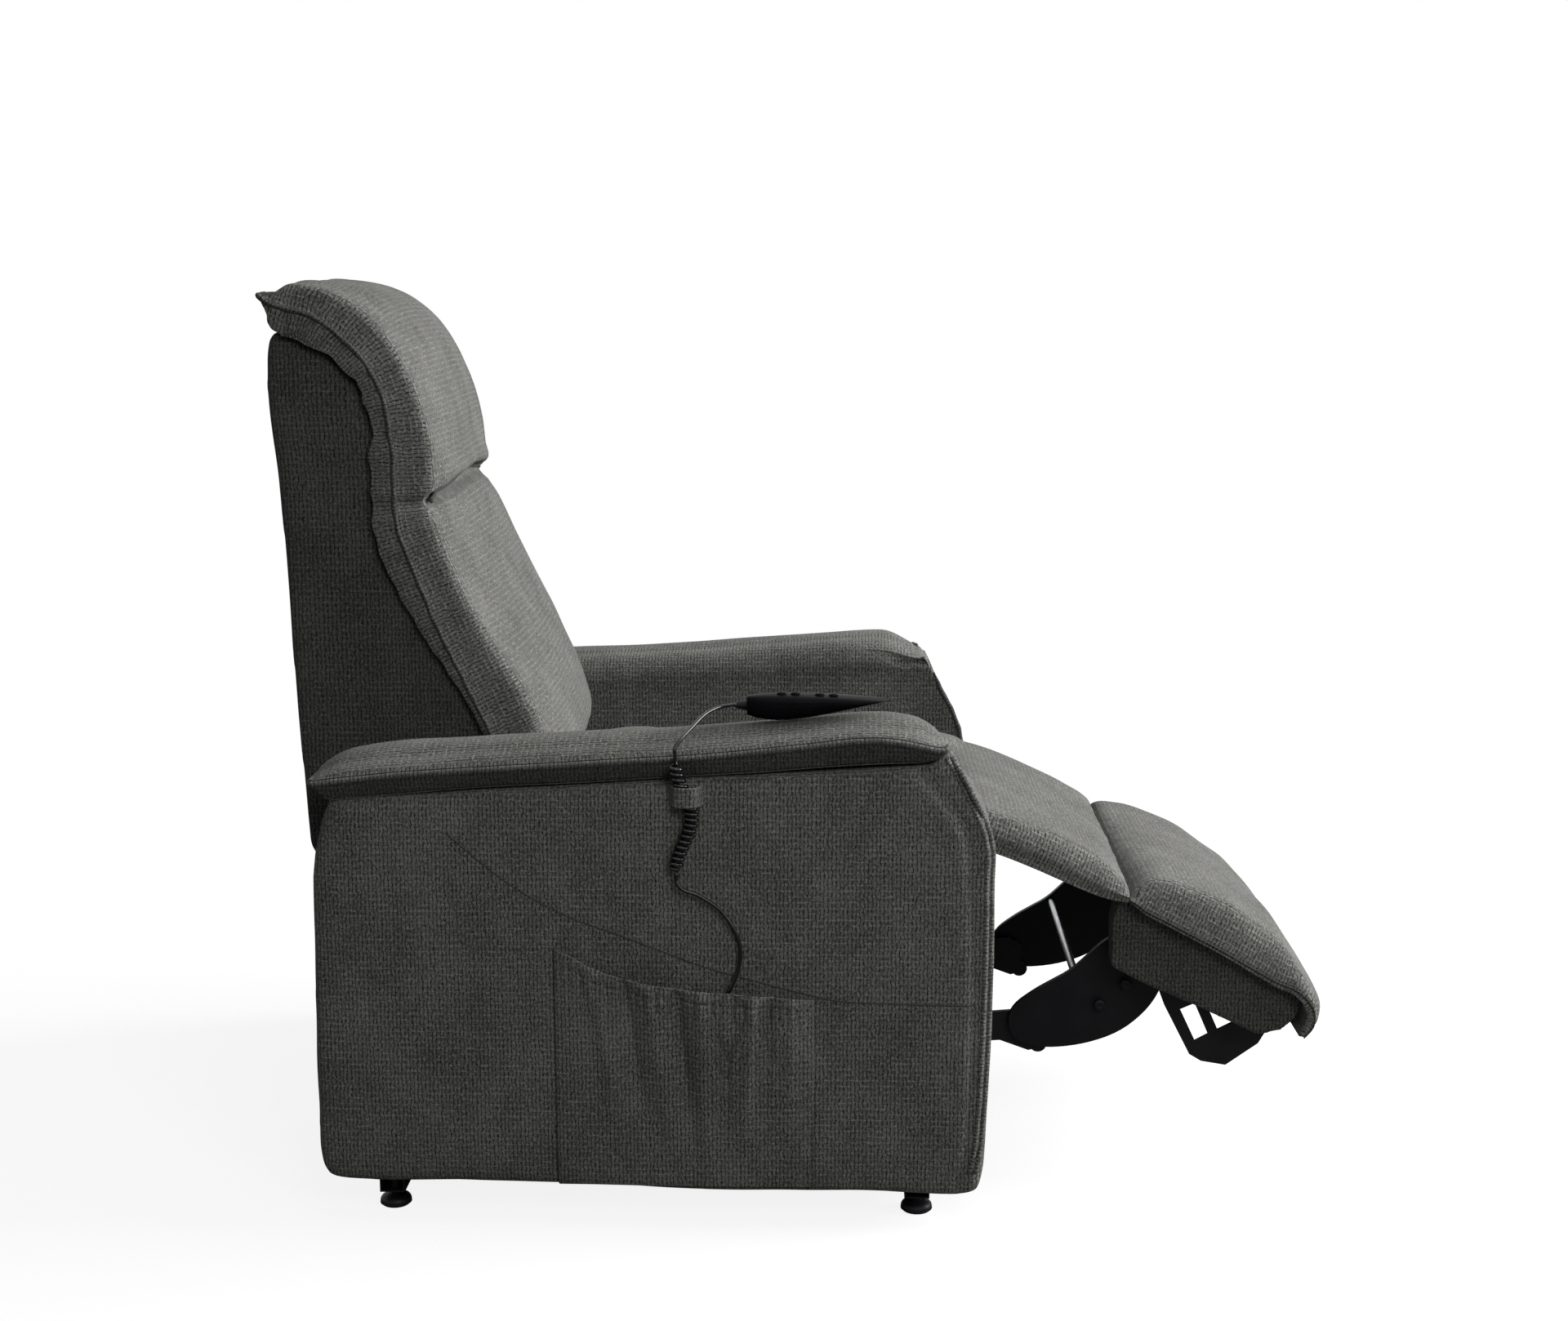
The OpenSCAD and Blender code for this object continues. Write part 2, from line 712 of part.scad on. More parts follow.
// Piping over the boxing: round the rear end, the outer side and the front end.
function pad_piping() = let (b = arm_back - 8, e = arm_front - 68 - 1.5,
        o = -pad_half + piping_d / 2, far = pad_half - 20)
    [for (q = [[b, far, 17], [b, 0, 17], [b, o + 14, 18], [b + 1.5, o + 7, 19],
        [b + 6, o + 2, 20], [b + 14, o, 22], [-300, o, 22], [-74, o, 23], [-20, o, 24],
        [e - 50, o, 24], [e - 25, o, 23], [e - 12, o, 22], [e - 5, o + 2, 21],
        [e - 1.5, o + 7, 20], [e, o + 14, 18], [e, 0, 18], [e, far, 18]])
        [q.x, q.y, arm_line(q.x) + q.z]];
module arm_pad() {
    mid = ccw(pad_outline());
    // at the side the crest falls to the welt, the underside stays
    edge = [for (q = mid) let (h = q.y - arm_line(q.x))
        [q.x, arm_line(q.x) + min(h, 3 + h * 0.46)]];
    st = [[-pad_half, 1], [-pad_half + 1.2, 0.86], [-pad_half + 5, 0.62],
        [-pad_half + 14, 0.34], [-pad_half + 28, 0.12], [-pad_half + 44, 0.02]];
    color(cloth)
        translate([0, -pad_y, 0]) {
            loft_y(mid, edge, concat(st, [for (i = [len(st) - 1 : -1 : 0])
                [-st[i].x, st[i].y]]));
            sweep_tube(pad_piping(), piping_d, 8);
        }
}
module arm_pad_right() { arm_pad(); }
module arm_pad_left() {
    mirror([0, 1, 0])
        arm_pad();
}

// ---- welt down the front edge of each arm ----
module arm_welt() {
    f = arm_front;
    r = welt_d / 2;
    // it lies on the outer fabric, just behind the rounded front edge
    y = -arm_out - 0.75 - r - fit;
    pts = run([[f - 26, y, arm_clear + 40], [f - 21, y, 110], [f - 17, y, 200],
        [f - 15, y, 300], [f - 15, y, 380], [f - 21, y, 440], [f - 34, y, 500],
        [f - 50, y, 538]], 4);
    color(cloth)
        sweep_tube(pts, welt_d, 8);
}
module arm_welt_right() { arm_welt(); }
module arm_welt_left() {
    mirror([0, 1, 0])
        arm_welt();
}

// ---- gathered pocket on the right arm ----
pocket_y = -arm_out - 1.5 - fit;
module side_pocket() {
    x0 = pocket_back;
    x1 = pocket_front;
    n = gathers * 4;
    z0 = arm_clear + 8;
    // mouth: falls from the rear corner, then nearly level to the front
    function mouth(u) = pocket_h + pocket_fall * pow(1 - u, 2.4) - 6 * u;
    function swell(u) = pow(max(0, sin(180 * u)), 0.35);
    function outer(u) = pocket_y - pocket_t - (pocket_gap + pocket_t) * swell(u)
        - gather_d * swell(u) * (1 - cos(360 * gathers * u)) / 2;
    function inner(u) = outer(u) + pocket_t;
    // plan sections at the foot, the middle and the mouth
    rows = [[0, 0.45], [0.12, 0.85], [0.5, 1], [0.92, 1], [1, 0.96]];
    pts = concat(
        [for (r = rows) for (i = [0 : n]) let (u = i / n)
            [x0 + (x1 - x0) * u, pocket_y + (outer(u) - pocket_y) * r.y,
                z0 + (mouth(u) - z0) * r.x]],
        [for (r = [rows[4], rows[3], rows[2], rows[1]]) for (i = [0 : n])
            let (u = i / n, o = pocket_y + (outer(u) - pocket_y) * r.y)
            [x0 + (x1 - x0) * u, min(o + pocket_t, pocket_y - 0.5),
                z0 + (mouth(u) - z0) * r.x]],
        [for (i = [0 : n]) let (u = i / n)
            [x0 + (x1 - x0) * u, pocket_y - 0.4, z0 + 12]],
        [for (i = [0 : n]) let (u = i / n)
            [x0 + (x1 - x0) * u, pocket_y, z0]]);
    m = 11;
    w = n + 1;
    skin = [for (j = [0 : m - 1]) for (i = [0 : n - 1])
        let (a = j * w + i, b = ((j + 1) % m) * w + i)
        each [[a, b + 1, a + 1], [a, b, b + 1]]];
    left = [for (j = [1 : m - 2]) [0, (j + 1) * w, j * w]];
    right = [for (f = left) [f[2] + n, f[1] + n, f[0] + n]];
    color(cloth)
        polyhedron(pts, concat(skin, left, right), convexity = 10);
}

// ---- cord, its loop and its strain relief ----
coil_x = -139;
coil_bow = 18;
lead_in = 6;
coil_top = 568;
coil_y = -arm_out - pad_lip - curl_d / 2 - 1;
coil_bottom = coil_top - curl_len;
// the coil hangs in a shallow bow; both of its ends are upright
function coil_axis(t) = [coil_x + coil_bow * pow(sin(180
    * max(0, min(1, (t * curl_len - lead_in) / (curl_len - 2 * lead_in)))), 2), coil_y,
    coil_top - curl_len * t];
// Cloth loop sewn to the arm under the pad, with the coil passing through it.
module cord_loop() {
    r = curl_d / 2 + 0.6;
    t = 1.6;
    h = 24;
    z = arm_line(coil_x) - 28;
    reach = -coil_y - arm_out - 1.5 - fit;
    sway = 4.5;     // room for the slant of the coil inside the loop
    color(cloth)
        translate([coil_axis((coil_top - z - h / 2) / curl_len).x, coil_y, z])
            linear_extrude(h)
                difference() {
                    loop_plan(r + t, sway, reach, 20);
                    loop_plan(r, sway, reach + 1, 20 - 2 * t);
                    translate([-30, reach])
                        square([60, 2 * r]);
                }
}
module loop_plan(r, sway, reach, half) {
    hull() {
        for (s = [-1, 1])
            translate([s * sway, 0])
                circle(r = r, $fn = 32);
        translate([-half, reach - 1])
            square([2 * half, 1]);
    }
}
tail_x = -84;
tail_y = -arm_out - 1.5 - cord_d / 2 - 3.7;
relief_z = 248;
relief_h = 14;
module cord_grommet() {
    color(plastic_black)
        difference() {
            union() {
                translate([tail_x, tail_y, relief_z])
                    cylinder(d = cord_d + 4, h = relief_h, $fn = 48);
                translate([tail_x - 8, tail_y, relief_z])
                    cube([16, pocket_y - tail_y, relief_h - 2]);
            }
            translate([tail_x, tail_y, relief_z + relief_h - 1.5])
                cylinder(d = cord_d + 2 * fit, h = 3, $fn = 48);
        }
}
// centre line of the curls: on the axis at both ends
curl_r = (curl_d - cord_d) / 2;
function coil_pt(u) = let (a = 360 * u, k = min(1, u / 0.75, (curls - u) / 0.75),
    r = curl_r * sin(90 * k),
    c = coil_axis((lead_in + (curl_len - 2 * lead_in) * u / curls) / curl_len))
    c + [r * cos(a), r * sin(a), 0];
coil_path = concat([coil_axis(0)], [for (i = [0 : curls * 8]) coil_pt(i / 8)],
    [coil_axis(1)]);
// least distance between points that lie more than half a curl apart
coil_gap = min([for (i = [0 : len(coil_path) - 1])
    for (j = [i + 5 : 1 : min(i + 14, len(coil_path) - 1)])
        norm(coil_path[i] - coil_path[j])]) - cord_d;
module cord_coil() {
    echo(least_gap_between_curls = coil_gap);
    color(plastic_black)
        sweep_tube(coil_path, cord_d, 6);
}
hand_x0 = -61;
hand_y = -pad_y;
hand_base = pad_crest(hand_x0 + 40) + 2.9;
gland_p = [hand_x0 - 4, hand_y, sum2(hand_low(0), hand_top(0), 0.5)];
lead_pts = [gland_p + [-7, 0, 0], gland_p + [-11, 0, 0], gland_p + [-15, 0, 0],
    [-93, -323, 614],
    [-108, -345, 610], [-122, -368, 599], [-133, -385, 589],
    [coil_x, coil_y, coil_top + 12], [coil_x, coil_y, coil_top + 6],
    [coil_x, coil_y, coil_top]];
tail_pts = [[coil_x, coil_y, coil_bottom], [coil_x, coil_y, coil_bottom - 4],
    [coil_x, coil_y, coil_bottom - 8], [-131, -393, 415], [-112, -391, 407],
    [-88, -390, 389], [-71, -389, 362], [-66, -388, 336], [-71, -388, 312],
    [-80, tail_y, 292],
    [tail_x, tail_y, 276], [tail_x, tail_y, relief_z + relief_h + 5],
    [tail_x, tail_y, relief_z + relief_h + 2],
    [tail_x, tail_y, relief_z + relief_h - 1.5]];
module cord_lead() {
    color(plastic_black)
        sweep_tube(run(lead_pts, 3), cord_d, 8);
}
module cord_tail() {
    color(plastic_black)
        sweep_tube(run(tail_pts, 3), cord_d, 8);
}

// ---- handset ----
// Its belly rests on the arm pad near the cord's end and its tip stands clear.
button_x = [hand_x0 + 40, hand_x0 + 56, hand_x0 + 84, hand_x0 + 100];
function hand_top(t) = hand_base + hand_h + 5 - 7 * t * t - 3 * pow(1 - t, 8);
function hand_low(t) = hand_base + 22 * pow(t, 1.5) + 10 * pow(1 - t, 6)
    + (pad_crest(hand_x0 + hand_l) - pad_crest(hand_x0)) * max(0, t - 0.24);
function hand_half(t) = hand_w / 2 * pow(sin(180 * (0.08 + 0.84 * pow(t, 0.8))), 0.55);
module handset() {
    n = 14;
    k = 20;
    pts = [for (i = [0 : n]) let (t = i / n, w = hand_half(t), rim = sum2(hand_low(t),
            hand_top(t), 0.62))
        for (j = [0 : k - 1]) let (a = 360 * j / k, c = cos(a), s = sin(a))
            [hand_x0 + hand_l * t, hand_y + w * sign(c) * pow(abs(c), 0.7),
                s > 0 ? rim + (hand_top(t) - rim) * pow(s, 0.6)
                    : rim - (rim - hand_low(t)) * pow(-s, 1.1)]];
    body = [for (i = [0 : n - 1]) for (j = [0 : k - 1])
        let (a = i * k + j, b = i * k + (j + 1) % k)
        each [[a, b + k, b], [a, a + k, b + k]]];
    first = [for (j = [1 : k - 2]) [0, j, j + 1]];
    last = [for (f = first) [f[2] + n * k, f[1] + n * k, f[0] + n * k]];
    color(plastic_black)
        difference() {
            polyhedron(pts, concat(body, first, last), convexity = 4);
            for (x = button_x)
                translate([x, hand_y, button_seat(x)])
                    cylinder(d = button_w + 2 * fit, h = 30, $fn = 48);
        }
}
// floor of a button's well
function button_seat(x) = hand_top((x - hand_x0) / hand_l) - 5.5;
module button(i) {
    color(plastic_black)
        translate([button_x[i], hand_y, button_seat(button_x[i])])
            rotate_extrude($fn = 48)
                polygon([[0, button_travel + 0.2], [button_w / 2, button_travel + 0.2],
                    [button_w / 2, 6.2], [button_w / 2 - 1.2, 7.4], [0, 8]]);
}
module button_back_up() { button(0); }
module button_back_down() { button(1); }
module button_lift_up() { button(2); }
module button_lift_down() { button(3); }
module handset_gland() {
    color(plastic_black)
        translate([gland_p.x + 4, gland_p.y, gland_p.z])
            rotate([0, -90, 0])
                difference() {
                    cylinder(d1 = 12, d2 = 8.4, h = 12, $fn = 48);
                    translate([0, 0, 11])
                        cylinder(d = 7, h = 2, $fn = 48);
                }
}

// =====================================================================
//  Back
// =====================================================================
// Below lum_foot the back is tied to its pivot, above it to the seat's top.
lum_foot = 489;
lum_low = seat_h + 9;
function lum(x, z) = [x + (back_pivot_x + 470),
    z < lum_foot ? back_pivot_z + (z - 380) * (lum_low - back_pivot_z) / (lum_foot - 380)
        : lum_low + (z - lum_foot) * (crease_h - lum_low) / (850 - lum_foot)];
function hed(x, z) = [x + (back_pivot_x + 470), crease_h + (z - 850) * head_h / 253];

// The lumbar cushion and the shell meet along one straight line, and the
// headrest meets the shell along an upright one.
line_a = lum(-334, 500);
line_b = lum(-500, 780);
line_n = let (d = unit(line_b - line_a)) [-d.y, d.x];
head_x = hed(-497, 0).x;
module back_shell() {
    off = -seat_fit * line_n * (line_n.x > 0 ? 1 : -1);
    hx = head_x - 0.8;
    mid = ccw(smooth([hed(-608, 1042), hed(-617, 1004), hed(-614, 897), lum(-607, 762),
        lum(-601, 615), lum(-594, 506), lum(-591, 445), lum(-588, 404), lum(-576, 402),
        lum(-480, 402), lum(-392, 402), lum(-366, 420),
        line_a + [-6, 0] + off, sum2(line_a, line_b, 0.15) + off,
        sum2(line_a, line_b, 0.85) + off, line_b + [-5, 8] + off, [hx - 3, lum(0, 812).y],
        [hx, hed(0, 862).y], [hx, hed(0, 920).y], hed(-510, 965), hed(-546, 1014),
        hed(-588, 1038)], 1));
    edge = draw_in(mid, 6, 80);
    color(cloth_dark)
        loft_y(mid, edge, both_sides(easing(back_y - shell_inset, 12, 2)));
}
// Padded flap that hangs from the shell's rear edge and hides the pivots.
module back_flap() {
    y = back_y - shell_inset - 8;
    color(cloth_dark)
        across(-y, y)
            polygon([lum(-584, 402), lum(-583, 380), lum(-579, 358), lum(-572, 350),
                lum(-564, 350), lum(-561, 358), lum(-562, 380), lum(-564, 402)]);
}
// Welts along both side seams of a back cushion.
module side_welts(line) {
    y = back_y - piping_d / 2 + fit;
    for (s = [-1, 1])
        sweep_tube(run([for (q = line) [q.x, s * y, q.y]], 3), piping_d, 8);
}
module head_cushion() {
    mid = ccw(smooth([hed(-628, 1083), hed(-622, 1076), hed(-600, 1056), hed(-546, 1026),
        hed(-506, 972), [head_x, hed(0, 925).y], [head_x, hed(0, 870).y],
        hed(-494, 854), hed(-440, 852), hed(-418, 860),
        hed(-411, 890), hed(-414, 946), hed(-434, 1006), hed(-470, 1062), hed(-520, 1096),
        hed(-574, 1107), hed(-612, 1101)], 1));
    // the side seam lies further back than the front face
    edge = ccw(smooth([hed(-628, 1081), hed(-622, 1076), hed(-602, 1056), hed(-546, 1026),
        hed(-506, 972), [head_x, hed(0, 925).y], [head_x, hed(0, 872).y],
        hed(-495, 860), hed(-488, 857), hed(-476, 864),
        hed(-472, 890), hed(-475, 940), hed(-488, 980), hed(-512, 1022), hed(-548, 1052),
        hed(-584, 1066), hed(-614, 1078)], 1));
    color(cloth) {
        loft_y(mid, edge, both_sides(concat([[0, -0.05], [back_y * 0.5, 0]],
            easing(back_y, boxing_w + 18, 5))));
        side_welts([hed(-480, 866), hed(-475, 890), hed(-477, 936), hed(-490, 978),
            hed(-514, 1018), hed(-548, 1046), hed(-584, 1062), hed(-612, 1074)]);
    }
}
module lumbar_cushion() {
    mid = ccw(smooth([lum(-300, 489), lum(-284, 512), lum(-286, 548), lum(-300, 600),
        lum(-320, 655), lum(-352, 730), lum(-388, 800), lum(-404, 836), lum(-424, 848),
        lum(-488, 849), lum(-497, 842), lum(-498, 800), sum2(line_a, line_b, 0.92),
        sum2(line_a, line_b, 0.5), sum2(line_a, line_b, 0.08), lum(-328, 490)], 1));
    edge = ccw(smooth([lum(-330, 493), lum(-322, 512), lum(-328, 548), lum(-346, 600),
        lum(-370, 655), lum(-404, 724), lum(-446, 790), lum(-466, 830), lum(-474, 845),
        lum(-490, 846), lum(-497, 840), lum(-498, 800), sum2(line_a, line_b, 0.92),
        sum2(line_a, line_b, 0.5), sum2(line_a, line_b, 0.1), lum(-334, 494)], 1));
    color(cloth) {
        loft_y(mid, edge, both_sides(concat([[0, -0.05], [back_y * 0.5, 0]],
            easing(back_y, boxing_w + 18, 5))));
        side_welts([lum(-334, 502), lum(-332, 548), lum(-350, 602), lum(-374, 657),
            lum(-408, 726), lum(-449, 790), lum(-468, 826), lum(-475, 842)]);
    }
}
// Side plates with the pivot pins, and the horn that the recline rod pulls.
module back_brackets() {
    shell_low = lum(-480, 402).y - seat_fit;
    color(steel_black) {
        pair() {
            across(back_plate_y, back_plate_y + plate_t - 1)
                union() {
                    translate(back_pivot)
                        circle(d = 36, $fn = 64);
                    translate([back_pivot.x - 18, back_pivot.y])
                        square([36, shell_low - back_pivot.y]);
                }
            pin(back_pivot, bracket_y - 1, back_plate_y);
        }
        for (s = [-1, 1])
            across(recline_motor_y + s * fork_y - 3, recline_motor_y + s * fork_y + 3)
                polygon([[back_pivot.x - 50, shell_low], [back_pivot.x + 8, shell_low],
                    horn_pin + [13, 0], horn_pin + [8, -11], horn_pin + [-8, -11],
                    horn_pin + [-13, 0]]);
        pin(horn_pin, recline_motor_y - fork_y - 4, recline_motor_y + fork_y + 4);
    }
}

// =====================================================================
//  Footrest (drawn raised, all places measured from the fold)
// =====================================================================
function ft(x, z) = fold + [x - 287, z - 446];
function fts(p) = [for (q = p) ft(q.x, q.y)];
foot_tilt = -30;

module leg_pad() {
    mid = ccw(smooth(fts([[259, 432], [262, 414], [276, 408], [324, 386], [364, 371],
        [388, 366], [396, 374], [388, 388], [360, 410], [319, 434], [284, 451],
        [264, 453]]), 1));
    edge = draw_in(mid, pad_edge * 0.8, foot_tilt);
    color(cloth)
        loft_y(mid, edge, both_sides(easing(cushion_y, 22, 5)));
}
module foot_pad() {
    mid = ccw(smooth(fts([[399, 376], [406, 369], [440, 350], [513, 308], [560, 281],
        [598, 259], [615, 248], [617, 226], [607, 208], [600, 196], [614, 191],
        [631, 202], [636, 228], [628, 258], [614, 286], [594, 308], [523, 354],
        [476, 378], [432, 388], [406, 385]]), 1));
    edge = draw_in(mid, pad_edge * 0.7, foot_tilt);
    color(cloth)
        loft_y(mid, edge, both_sides(easing(cushion_y, 22, 5)));
}
board_out = fts([[386, 367], [404, 366], [598, 255], [613, 245], [613, 226], [603, 208],
    [587, 195], [560, 189], [489, 223], [419, 253], [380, 274], [379, 331]]);
// The deck's upper face runs from the crease to the toe end.
deck_a = ft(404, 366);
deck_b = ft(598, 255);
deck_n = let (d = unit(deck_b - deck_a)) [d.y, -d.x];
function deck_under(x) = let (a = deck_a + deck_t * deck_n, b = deck_b + deck_t * deck_n)
    a.y + (b.y - a.y) * (x - a.x) / (b.x - a.x);
module foot_board() {
    under = deck_b + (deck_t + 2) * deck_n;
    deck = concat(fts([[386, 367], [404, 366], [598, 255], [613, 245], [613, 226],
        [605, 212], [592, 220]]), [[under.x - 2, deck_under(under.x - 2)],
        [ft(390, 0).x, deck_under(ft(390, 0).x)], ft(383, 350)]);
    y = board_y;
    w = board_wall;
    color(cloth) {
        pair()
            across(y - w, y)
                polygon(board_out);
        across(-y + w, y - w)
            polygon(deck);
        // rear wall, open between the links
        pair()
            across(board_ear_y + plate_t + 5, y - w)
                polygon(fts([[383, 352], [379, 331], [380, 274], [394, 267], [395, 352]]));
        // ears that carry the curved links
        pair()
            difference() {
                across(board_ear_y, board_ear_y + plate_t)
                    polygon([link_s + [-18, -12], link_s + [-6, -18], link_s + [12, -16],
                        link_s + [62, 0], [link_s.x + 62, deck_under(link_s.x + 62) + 3],
                        [link_s.x - 18, deck_under(link_s.x - 18) + 3]]);
                translate([link_s.x, board_ear_y + plate_t + 1, link_s.y])
                    rotate([90, 0, 0])
                        cylinder(d = pin_d + 2 * fit, h = plate_t + 2, $fn = 48);
            }
    }
}
// Black plates under the toe end, each with two windows.
module toe_brackets() {
    y = foot_link_y;
    top = [for (x = [ft(578, 0).x, ft(446, 0).x]) [x, deck_under(x) - fit - 0.1]];
    out = concat(fts([[450, 218], [456, 202], [489, 138], [504, 129], [535, 124],
        [575, 153], [588, 176], [586, 214]]), top, [ft(440, 268)]);
    color(steel_black)
        pair()
            across(y - plate_t / 2, y + plate_t / 2)
                difference() {
                    polygon(out);
                    polygon(fts([[476, 197], [494, 205], [512, 164], [496, 155]]));
                    polygon(fts([[512, 197], [545, 181], [524, 170]]));
                }
}
// Curved cover plates of the footrest mechanism.
module curved_links() {
    function e(x, z) = link_e + [x - 285, z - 176];
    function s(x, z) = link_s + [x - 420, z - 262];
    out = smooth([e(258, 184), e(264, 204), e(290, 224), e(314, 238), s(335, 250),
        s(354, 268), s(378, 292), s(402, 302), s(430, 300), s(452, 282), s(456, 254),
        s(446, 222), s(428, 196), s(398, 171), e(358, 156), e(317, 150), e(288, 152),
        e(266, 162)], 2);
    color(plastic_black)
        pair() {
            difference() {
                across(curved_y, curved_y + 8)
                    polygon(out);
                for (q = [link_e, link_s])
                    pin(q, curved_y - 1, curved_y + 4, pin_d + 2 * fit);
                pin(rod_p, curved_y - 1, curved_y + 5, rod_d + 2 * fit);
            }
            // two screw heads
            for (q = [[372, 209], [404, 236]])
                pin(s(q.x, q.y), curved_y + 8, curved_y + 9, 15);
            pin(link_s, curved_y + 8, board_ear_y + plate_t + 1);
        }
}
rod_p = (link_e + link_s) / 2 + [-11, 27];
module cross_rod() {
    color(steel_grey)
        pin(rod_p, -curved_y - 4, curved_y + 4, rod_d);
}
// Cranked links between the seat frame and the curved links.
module front_links() {
    function o(x, z) = link_o + [x - 152, z - 360];
    function e(x, z) = link_e + [x - 285, z - 176];
    color(steel_black)
        pair() {
            difference() {
                across(foot_link_y, foot_link_y + plate_t)
                    difference() {
                        union() {
                            polygon(concat([o(165, 358), o(156, 250), e(160, 196)],
                                [e(168, 186), e(285, 196), e(300, 170), e(300, 146),
                                e(286, 142), e(250, 155), e(168, 150)],
                                [e(142, 160), o(128, 190), o(126, 250), o(139, 358)]));
                            translate(link_o)
                                circle(d = rail_h - 2, $fn = 64);
                            translate(link_tip)
                                circle(d = 22, $fn = 48);
                            translate(link_e)
                                circle(d = 34, $fn = 64);
                        }
                        translate(link_o)
                            circle(d = pin_d + 2 * fit, $fn = 48);
                    }
            }
            pin(link_e, foot_link_y + plate_t, curved_y + 3.7);
            pin(link_tip, foot_link_y + plate_t, foot_link_y + plate_t + 3, 12);
        }
}

base_front_tube();
base_rear_tube();
base_rails();
pivot_ears();
glide_fl();
glide_fr();
glide_rl();
glide_rr();
lift_arms();
stabilisers();
lift_motor();
lift_rod();
seat_frame();
hangers();
seat_webbing();
power_box();
recline_motor();
recline_rod();
seat_cushion();
arm_right();
arm_left();
arm_pad_right();
arm_pad_left();
arm_welt_right();
arm_welt_left();
side_pocket();
cord_loop();
cord_grommet();
handset();
handset_gland();
button_back_up();
button_back_down();
button_lift_up();
button_lift_down();
cord_lead();
cord_coil();
cord_tail();
back_shell();
back_flap();
head_cushion();
lumbar_cushion();
back_brackets();
foot_board();
foot_pad();
leg_pad();
toe_brackets();
curved_links();
cross_rod();
front_links();
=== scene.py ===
"""Looks of the lift recliner chair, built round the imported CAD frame.

Metres in Blender; outlines are written in millimetres, as (x, z) pairs in the
CAD frame: +X forward, +Y to the sitter's left, +Z up, floor at z = 0.
"""
import json
import math

import bmesh
import bpy
import numpy as np
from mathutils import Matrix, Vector, noise
from mathutils.bvhtree import BVHTree


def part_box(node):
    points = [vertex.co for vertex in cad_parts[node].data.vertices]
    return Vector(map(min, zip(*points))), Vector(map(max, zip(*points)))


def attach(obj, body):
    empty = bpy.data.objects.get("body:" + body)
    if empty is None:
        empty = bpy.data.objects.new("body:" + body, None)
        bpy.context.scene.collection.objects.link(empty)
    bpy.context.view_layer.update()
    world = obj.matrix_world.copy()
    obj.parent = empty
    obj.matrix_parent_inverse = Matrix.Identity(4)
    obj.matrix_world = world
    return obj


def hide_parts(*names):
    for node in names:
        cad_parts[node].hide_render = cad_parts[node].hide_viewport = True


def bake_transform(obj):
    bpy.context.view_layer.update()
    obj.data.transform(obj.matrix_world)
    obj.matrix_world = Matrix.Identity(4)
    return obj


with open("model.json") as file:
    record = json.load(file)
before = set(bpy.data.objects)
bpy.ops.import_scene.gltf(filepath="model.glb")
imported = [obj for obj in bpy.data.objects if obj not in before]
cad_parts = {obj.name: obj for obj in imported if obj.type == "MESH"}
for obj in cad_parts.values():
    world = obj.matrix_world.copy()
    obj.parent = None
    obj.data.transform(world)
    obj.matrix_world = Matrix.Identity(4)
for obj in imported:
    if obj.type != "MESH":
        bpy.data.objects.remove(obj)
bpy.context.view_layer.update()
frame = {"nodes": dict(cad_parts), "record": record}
scene = bpy.context.scene
MM = 0.001

# ---------------------------------------------------------------------
#  Camera
# ---------------------------------------------------------------------
CAMERA_AT = (0.055, -2.778, 1.093)
CAMERA_TURN = math.radians(1.704)     # to the left of +Y
CAMERA_DROP = math.radians(9.785)     # below the horizon
CAMERA_LENS = 49.69


def make_camera():
    data = bpy.data.cameras.new("camera")
    data.sensor_width = 36
    data.lens = CAMERA_LENS
    data.clip_end = 60
    cam = bpy.data.objects.new("camera", data)
    scene.collection.objects.link(cam)
    aim = Vector((-math.sin(CAMERA_TURN) * math.cos(CAMERA_DROP),
                  math.cos(CAMERA_TURN) * math.cos(CAMERA_DROP),
                  -math.sin(CAMERA_DROP)))
    cam.location = CAMERA_AT
    cam.rotation_mode = "QUATERNION"
    cam.rotation_quaternion = aim.to_track_quat("-Z", "Y")
    scene.camera = cam


make_camera()

# ---------------------------------------------------------------------
#  Lines and meshes
# ---------------------------------------------------------------------


def curve_through(points, per=8):
    """Catmull-Rom curve through the points, as an array."""
    p = np.array(points, float)
    last = len(p) - 1
    out = []
    for i in range(last):
        a, b, c, d = p[max(i - 1, 0)], p[i], p[i + 1], p[min(i + 2, last)]
        for t in np.arange(per) / per:
            out.append(0.5 * (2 * b + (c - a) * t + (2 * a - 5 * b + 4 * c - d) * t * t
                              + (3 * b - a - 3 * c + d) * t ** 3))
    out.append(p[-1])
    return np.array(out)


def run_of(line):
    """How far along the line each of its points lies."""
    return np.r_[0, np.cumsum(np.linalg.norm(np.diff(line, axis=0), axis=1))]


def even(line, step):
    """The same line with points an even step apart."""
    run = run_of(line)
    at = np.linspace(0, run[-1], max(2, int(round(run[-1] / step))) + 1)
    return np.column_stack([np.interp(at, run, line[:, k]) for k in range(line.shape[1])])


def running_mean(values, n):
    return np.convolve(np.pad(values, n // 2, "edge"), np.ones(n) / n, "valid")


def neighbours(grid):
    """The sum of the four neighbours of every value in a grid."""
    p = np.pad(grid, 1, "edge")
    return p[:-2, 1:-1] + p[2:, 1:-1] + p[1:-1, :-2] + p[1:-1, 2:]


